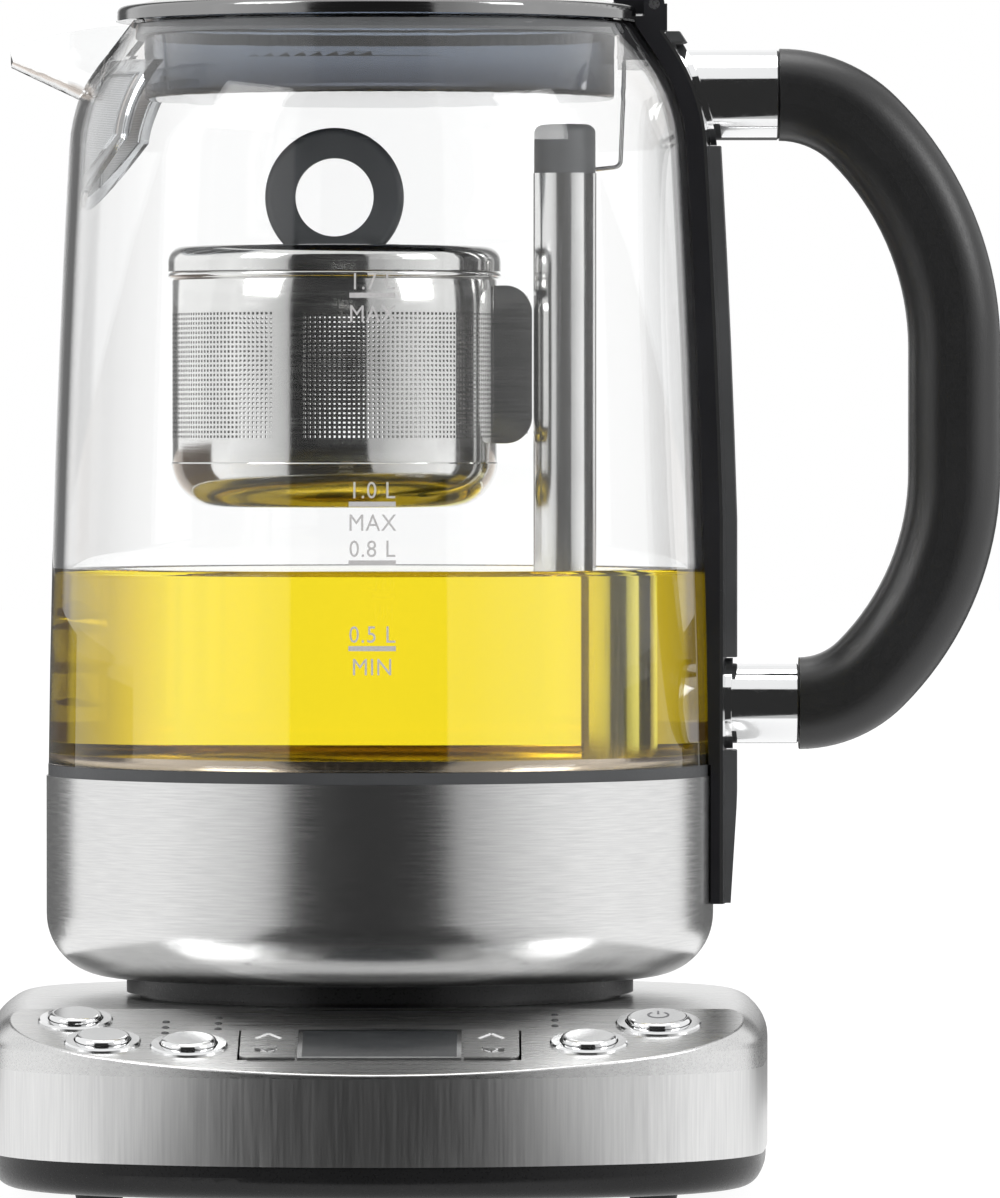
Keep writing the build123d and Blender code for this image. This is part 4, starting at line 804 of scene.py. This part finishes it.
def perforated_tree(name):
    """Node tree that lays square-holed cells round a cup, and leaves out the strips."""
    tree = bpy.data.node_groups.new(name, "GeometryNodeTree")
    sockets = {}
    for label, kind in (("Radius", "Float"), ("Low", "Float"), ("Pitch", "Float"),
                        ("Columns", "Int"), ("Rows", "Int"), ("Hole Share", "Float"),
                        ("Wall", "Float"), ("Strips", "Int"), ("Strip Half", "Float"),
                        ("Strip Turn", "Float"), ("Material", "Material")):
        socket = tree.interface.new_socket(label, in_out="INPUT",
                                           socket_type="NodeSocket" + kind)
        sockets[label] = socket.identifier
    tree.interface.new_socket("Geometry", in_out="OUTPUT", socket_type="NodeSocketGeometry")
    given = node(tree, "NodeGroupInput").outputs

    def worked(operation, *values):
        return calculated(tree, operation, *values)

    def vector(x=0.0, y=0.0, z=0.0):
        return node(tree, "ShaderNodeCombineXYZ", enumerate((x, y, z))).outputs[0]

    def frame_side(outer, inner, depth, back, flip):
        """Square frame, or a square tube where outer and inner are the same."""
        cone = node(tree, "GeometryNodeMeshCone",
                    {"Vertices": 4, "Radius Bottom": outer, "Radius Top": inner,
                     "Depth": depth}, fill_type="NONE").outputs["Mesh"]
        side = node(tree, "GeometryNodeTransform",
                    {"Geometry": cone, "Rotation": (0, 0, math.pi / 4),
                     "Translation": vector(z=back)}).outputs[0]
        return node(tree, "GeometryNodeFlipFaces", {0: side}).outputs[0] if flip else side

    half = math.sqrt(0.5)
    hole = worked("MULTIPLY", given["Hole Share"], half)
    back = worked("MULTIPLY", given["Wall"], -1.0)
    join = node(tree, "GeometryNodeJoinGeometry")
    for side in (frame_side(half, hole, 0.0, 0.0, False),
                 frame_side(half, hole, 0.0, back, True),
                 frame_side(hole, hole, given["Wall"], back, True)):
        tree.links.new(side, join.inputs[0])
    around = worked("MULTIPLY", given["Radius"], 2 * math.pi)
    width = worked("DIVIDE", around, given["Columns"])
    cell = node(tree, "GeometryNodeTransform",
                {"Geometry": join.outputs[0],
                 "Scale": vector(width, given["Pitch"], 1.0)}).outputs[0]
    upright_cell = node(tree, "GeometryNodeTransform",
                        {"Geometry": cell, "Rotation": (math.pi / 2, 0, 0)}).outputs[0]

    index = node(tree, "GeometryNodeInputIndex").outputs[0]
    row = worked("FLOOR", worked("DIVIDE", index, given["Columns"]))
    column = worked("SUBTRACT", index, worked("MULTIPLY", row, given["Columns"]))
    step = worked("DIVIDE", 2 * math.pi, given["Columns"])
    angle = worked("MULTIPLY", worked("ADD", column, 0.5), step)
    rise = worked("MULTIPLY", worked("ADD", row, 0.5), given["Pitch"])
    place = vector(worked("MULTIPLY", given["Radius"], worked("COSINE", angle)),
                   worked("MULTIPLY", given["Radius"], worked("SINE", angle)),
                   worked("ADD", given["Low"], rise))
    count = worked("MULTIPLY", given["Columns"], given["Rows"])
    points = node(tree, "GeometryNodePoints", {"Count": count, "Position": place}).outputs[0]
    share = worked("DIVIDE", 2 * math.pi, given["Strips"])
    half_share = worked("DIVIDE", share, 2.0)
    past = worked("ADD", worked("SUBTRACT", angle, given["Strip Turn"]), half_share)
    off = worked("ABSOLUTE", worked("SUBTRACT", worked("FLOORED_MODULO", past, share),
                                    half_share))
    turned_points = node(tree, "GeometryNodeStoreNamedAttribute",
                         {"Geometry": points, "Name": "turn"},
                         data_type="FLOAT", domain="POINT")
    value_slot = next(s for s in turned_points.inputs if s.name == "Value" and s.enabled)
    tree.links.new(worked("ADD", angle, math.pi / 2), value_slot)
    in_strip = worked("LESS_THAN", off, given["Strip Half"])
    plain = node(tree, "GeometryNodeDeleteGeometry",
                 {"Geometry": turned_points.outputs[0], "Selection": in_strip},
                 domain="POINT").outputs[0]
    read = node(tree, "GeometryNodeInputNamedAttribute", {"Name": "turn"}, data_type="FLOAT")
    turn = next(s for s in read.outputs if s.name == "Attribute" and s.enabled)
    spread = node(tree, "GeometryNodeInstanceOnPoints",
                  {"Points": plain, "Instance": upright_cell,
                   "Rotation": vector(z=turn)}).outputs[0]
    solid = node(tree, "GeometryNodeRealizeInstances", {0: spread}).outputs[0]
    paint = node(tree, "GeometryNodeSetMaterial",
                 {"Geometry": solid, "Material": given["Material"]}).outputs[0]
    node(tree, "NodeGroupOutput", {0: paint})
    return tree, sockets


cup_steel = polished("cup_steel", (0.80, 0.80, 0.79), 0.10, (60, 60, 2200), 0.06)
# The cup's inner faces get a nearly black metal: painted shade inside the cup, not a colour
# of the steel.
cup_painted_shade = plastic("cup_painted_shade", (0.10, 0.095, 0.085), 0.45, 900, 0.1, metallic=1.0)
tree, sockets = perforated_tree("etched_windows")
holder = placed("etched_windows", bpy.data.meshes.new("etched_windows"))
etching = holder.modifiers.new("etching", "NODES")
etching.node_group = tree
for label, value in (("Radius", CUP_RADIUS), ("Low", HOLES_LOW),
                     ("Pitch", (HOLES_HIGH - HOLES_LOW) / HOLE_ROWS),
                     ("Columns", HOLE_COLUMNS), ("Rows", HOLE_ROWS),
                     ("Hole Share", HOLE_SHARE), ("Wall", BAND_WALL), ("Strips", STRIPS),
                     ("Strip Half", STRIP_HALF), ("Strip Turn", STRIP_TURN),
                     ("Material", cup_steel)):
    etching[sockets[label]] = value
evaluated = holder.evaluated_get(bpy.context.evaluated_depsgraph_get())
cells = bpy.data.meshes.new_from_object(evaluated)
bpy.data.objects.remove(holder)
windows = bmesh.new()
windows.from_mesh(cells)
bpy.data.meshes.remove(cells)
bmesh.ops.remove_doubles(windows, verts=windows.verts, dist=0.00003)
MIDWALL = CUP_RADIUS - BAND_WALL / 2
open_edges = [edge for edge in windows.edges if edge.is_boundary
              and ((edge.verts[0].co + edge.verts[1].co) / 2).xy.length > MIDWALL]
inner_verts = [v for v in windows.verts if v.co.xy.length < MIDWALL]
near = KDTree(len(inner_verts))
for k, vert in enumerate(inner_verts):
    near.insert(vert.co, k)
near.balance()
for edge in open_edges:
    a, b = edge.verts
    behind = []
    for vert in (a, b):
        inward = Vector((vert.co.x, vert.co.y, 0)).normalized() * BAND_WALL
        behind.append(inner_verts[near.find(vert.co - inward)[1]])
    if windows.faces.get((a, b, behind[1], behind[0])) is None:
        windows.faces.new((a, b, behind[1], behind[0]))
bmesh.ops.recalc_face_normals(windows, faces=windows.faces)
for face in windows.faces:
    face.smooth = False
    face.material_index = 0
bmesh.ops.translate(windows, verts=windows.verts, vec=CUP_AXIS)
infuser_windows = object_from("infuser_windows", windows, cup_steel)
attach(infuser_windows, "infuser")
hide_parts("infuser_screen")

# The foot stands out by a fifth of a millimetre, and a small step above it is the seam.
seam = cup_low.z + 0.0098
inner = CUP_RADIUS - CUP_WALL
foot = [(0.0, cup_low.z),
        *round_corner(CUP_RADIUS + 0.0002 - CUP_ROUND, cup_low.z + CUP_ROUND, CUP_ROUND,
                      -90, -4, 14),
        (CUP_RADIUS + 0.00022, seam), (CUP_RADIUS + 0.00012, seam + 0.00025),
        (CUP_RADIUS - 0.00005, seam + 0.0003), (CUP_RADIUS, seam + 0.0007),
        (CUP_RADIUS, HOLES_LOW + LAP), (inner, HOLES_LOW + LAP), (inner, seam),
        *round_corner(inner - CUP_ROUND + CUP_FLOOR, cup_low.z + CUP_ROUND,
                      CUP_ROUND - CUP_FLOOR, 0, -90, 10),
        (0.0, cup_low.z + CUP_FLOOR)]
cup_foot = turned("infuser_foot", foot, CUP_AXIS, HOLE_COLUMNS)
rim = [(CUP_RADIUS, HOLES_HIGH - LAP), (CUP_RADIUS, cup_high.z - 0.0021),
       *round_corner(RIM_OUT - RIM_ROUND, cup_high.z - 0.0009, RIM_ROUND, -120, 90, 8),
       (inner, cup_high.z - 0.0002), (inner, HOLES_HIGH - LAP)]
cup_rim = turned("infuser_rim", rim, CUP_AXIS, HOLE_COLUMNS, closed=True)
strips = bmesh.new()
for k in range(STRIPS):
    middle = STRIP_TURN + 2 * math.pi * k / STRIPS
    reach = STRIP_HALF + math.pi / HOLE_COLUMNS
    rings = []
    for s in range(STRIP_STEPS + 1):
        a = middle - reach + 2 * reach * s / STRIP_STEPS
        rings.append([strips.verts.new((CUP_AXIS.x + radius * math.cos(a),
                                        CUP_AXIS.y + radius * math.sin(a), height))
                      for radius, height in
                      ((CUP_RADIUS, HOLES_LOW - LAP), (CUP_RADIUS, HOLES_HIGH + LAP),
                       (inner, HOLES_HIGH + LAP), (inner, HOLES_LOW - LAP))])
    for left, right in zip(rings, rings[1:]):
        bridged(strips, left, right)
    strips.faces.new(rings[0])
    strips.faces.new(rings[-1][::-1])
bmesh.ops.recalc_face_normals(strips, faces=strips.faces)
cup_strips = object_from("infuser_strips", strips)
cup_strips.data.shade_smooth()
for piece in (cup_foot, cup_rim, cup_strips):
    piece.data.set_sharp_from_angle(angle=SHARP)
    piece.data.materials.append(cup_steel)
    piece.data.materials.append(cup_painted_shade)
    # Faces that look inwards, below the rim, take the painted shade.
    for polygon in piece.data.polygons:
        outward = Vector((*(polygon.center - CUP_AXIS).xy, 0)).normalized()
        faces_in = polygon.normal.dot(outward) < -0.3 or polygon.normal.z > 0.5
        polygon.material_index = int(faces_in and polygon.center.z < HOLES_HIGH + 0.004)
    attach(piece, "infuser")
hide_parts("infuser_cup")
dress(cup_steel, "infuser_lid")

# The bracket is the CAD piece with its loose triangles merged and its edges rounded.
BRACKET_ROUND = 0.0011
form = bmesh.new()
form.from_mesh(cad["infuser_bracket"].data)
bmesh.ops.remove_doubles(form, verts=form.verts, dist=0.00001)
bmesh.ops.dissolve_limit(form, angle_limit=math.radians(1), verts=form.verts,
                         edges=form.edges)
bracket = object_from("bracket_rounded", form)
rounding = bracket.modifiers.new("rounding", "BEVEL")
rounding.width = BRACKET_ROUND
rounding.segments = 4
rounding.limit_method = "ANGLE"
rounding.angle_limit = math.radians(50)
evaluated = bracket.evaluated_get(bpy.context.evaluated_depsgraph_get())
rounded = bpy.data.meshes.new_from_object(evaluated)
bracket.modifiers.clear()
bracket.data = rounded
rounded.name = "bracket_rounded"
rounded.shade_smooth()
rounded.set_sharp_from_angle(angle=math.radians(35))
rounded.materials.clear()
rounded.materials.append(cup_steel)
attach(bracket, "infuser")
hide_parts("infuser_bracket")


# ----------------------------------------------------------------------- spout filter
# Behind the spout a smoked plastic frame clips to the inside of the neck, with a fine
# steel mesh in its window to hold the leaves back.
filter_smoke = clear_shell("filter_smoke", (0.62, 0.64, 0.66), 1.46, 0.06,
                           (90, 90, 90), 0.05)[0]
dress(filter_smoke, "spout_filter_frame")
filter_mesh, tree = new_material("filter_mesh")
wires = node(tree, "ShaderNodeTexBrick",
             {"Scale": 1.0, "Brick Width": 0.5, "Row Height": 0.5, "Mortar Size": 0.09,
              "Color1": (0.16, 0.17, 0.18, 1), "Color2": (0.19, 0.20, 0.21, 1),
              "Mortar": (0.62, 0.63, 0.64, 1), "Vector": round_axis(tree, AXIS, 90, 1300)},
             offset=0.0).outputs
principled(tree, wires["Color"], 1.0, 0.3, bumped(tree, wires["Fac"], 0.3))
dress(filter_mesh, "spout_filter_mesh")


# ----------------------------------------------------------------------------- handle
# The grip is a hollow moulding in satin black on a steel core, held by two polished
# ferrules to a glossy strap with a bright edge. The strap runs down the jug's side.
grip_black = plastic("grip_black", (0.012, 0.012, 0.0125), 0.36, 2200, 0.2, shine=0.6)
spine_grey = plastic("spine_grey", (0.055, 0.056, 0.058), 0.42, 1800, 0.2)
dress(grip_black, "handle_grip")
dress(spine_grey, "handle_spine")


# -------------------------------------------------------------------------------- lid
# The lid is a shallow steel dome on a spun rim. Under it hangs a smoked clear collar
# that closes the neck, and a black arm carries it on the hinge pin.
lid_low, lid_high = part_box("lid_cover")
LID_AXIS = Vector(((lid_low.x + lid_high.x) / 2, (lid_low.y + lid_high.y) / 2, 0))
lid_steel = brushed("lid_steel", (9, 2600), (0.60, 0.60, 0.60), (0.76, 0.76, 0.755), 0.2,
                    0.12, centre=LID_AXIS)
# The rim gets a colour far darker than steel's own: a painted dark reflection.
rim_dark_reflection = polished("rim_dark_reflection", (0.30, 0.30, 0.30), 0.12, (60, 60, 1800), 0.04)
dress(lid_steel, "lid_cover")
dress(rim_dark_reflection, "lid_rim")
collar_smoke, tree, shader, _ = clear_shell("collar_smoke", (0.36, 0.40, 0.47), 1.47, 0.03,
                                            (60, 60, 30), 0.05)
collar_low, collar_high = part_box("lid_collar")
# The collar's colour runs from nearly black at its foot to light at its top: painted shade,
# darkest low down under the lid.
height = to_range(tree, object_parts(tree)["Z"], 0, 1, collar_low.z, collar_high.z)
painted_shade = between(tree, height, (0.07, 0.08, 0.11), (0.55, 0.60, 0.67))
tree.links.new(painted_shade, shader.inputs["Base Color"])
dress(collar_smoke, "lid_collar")
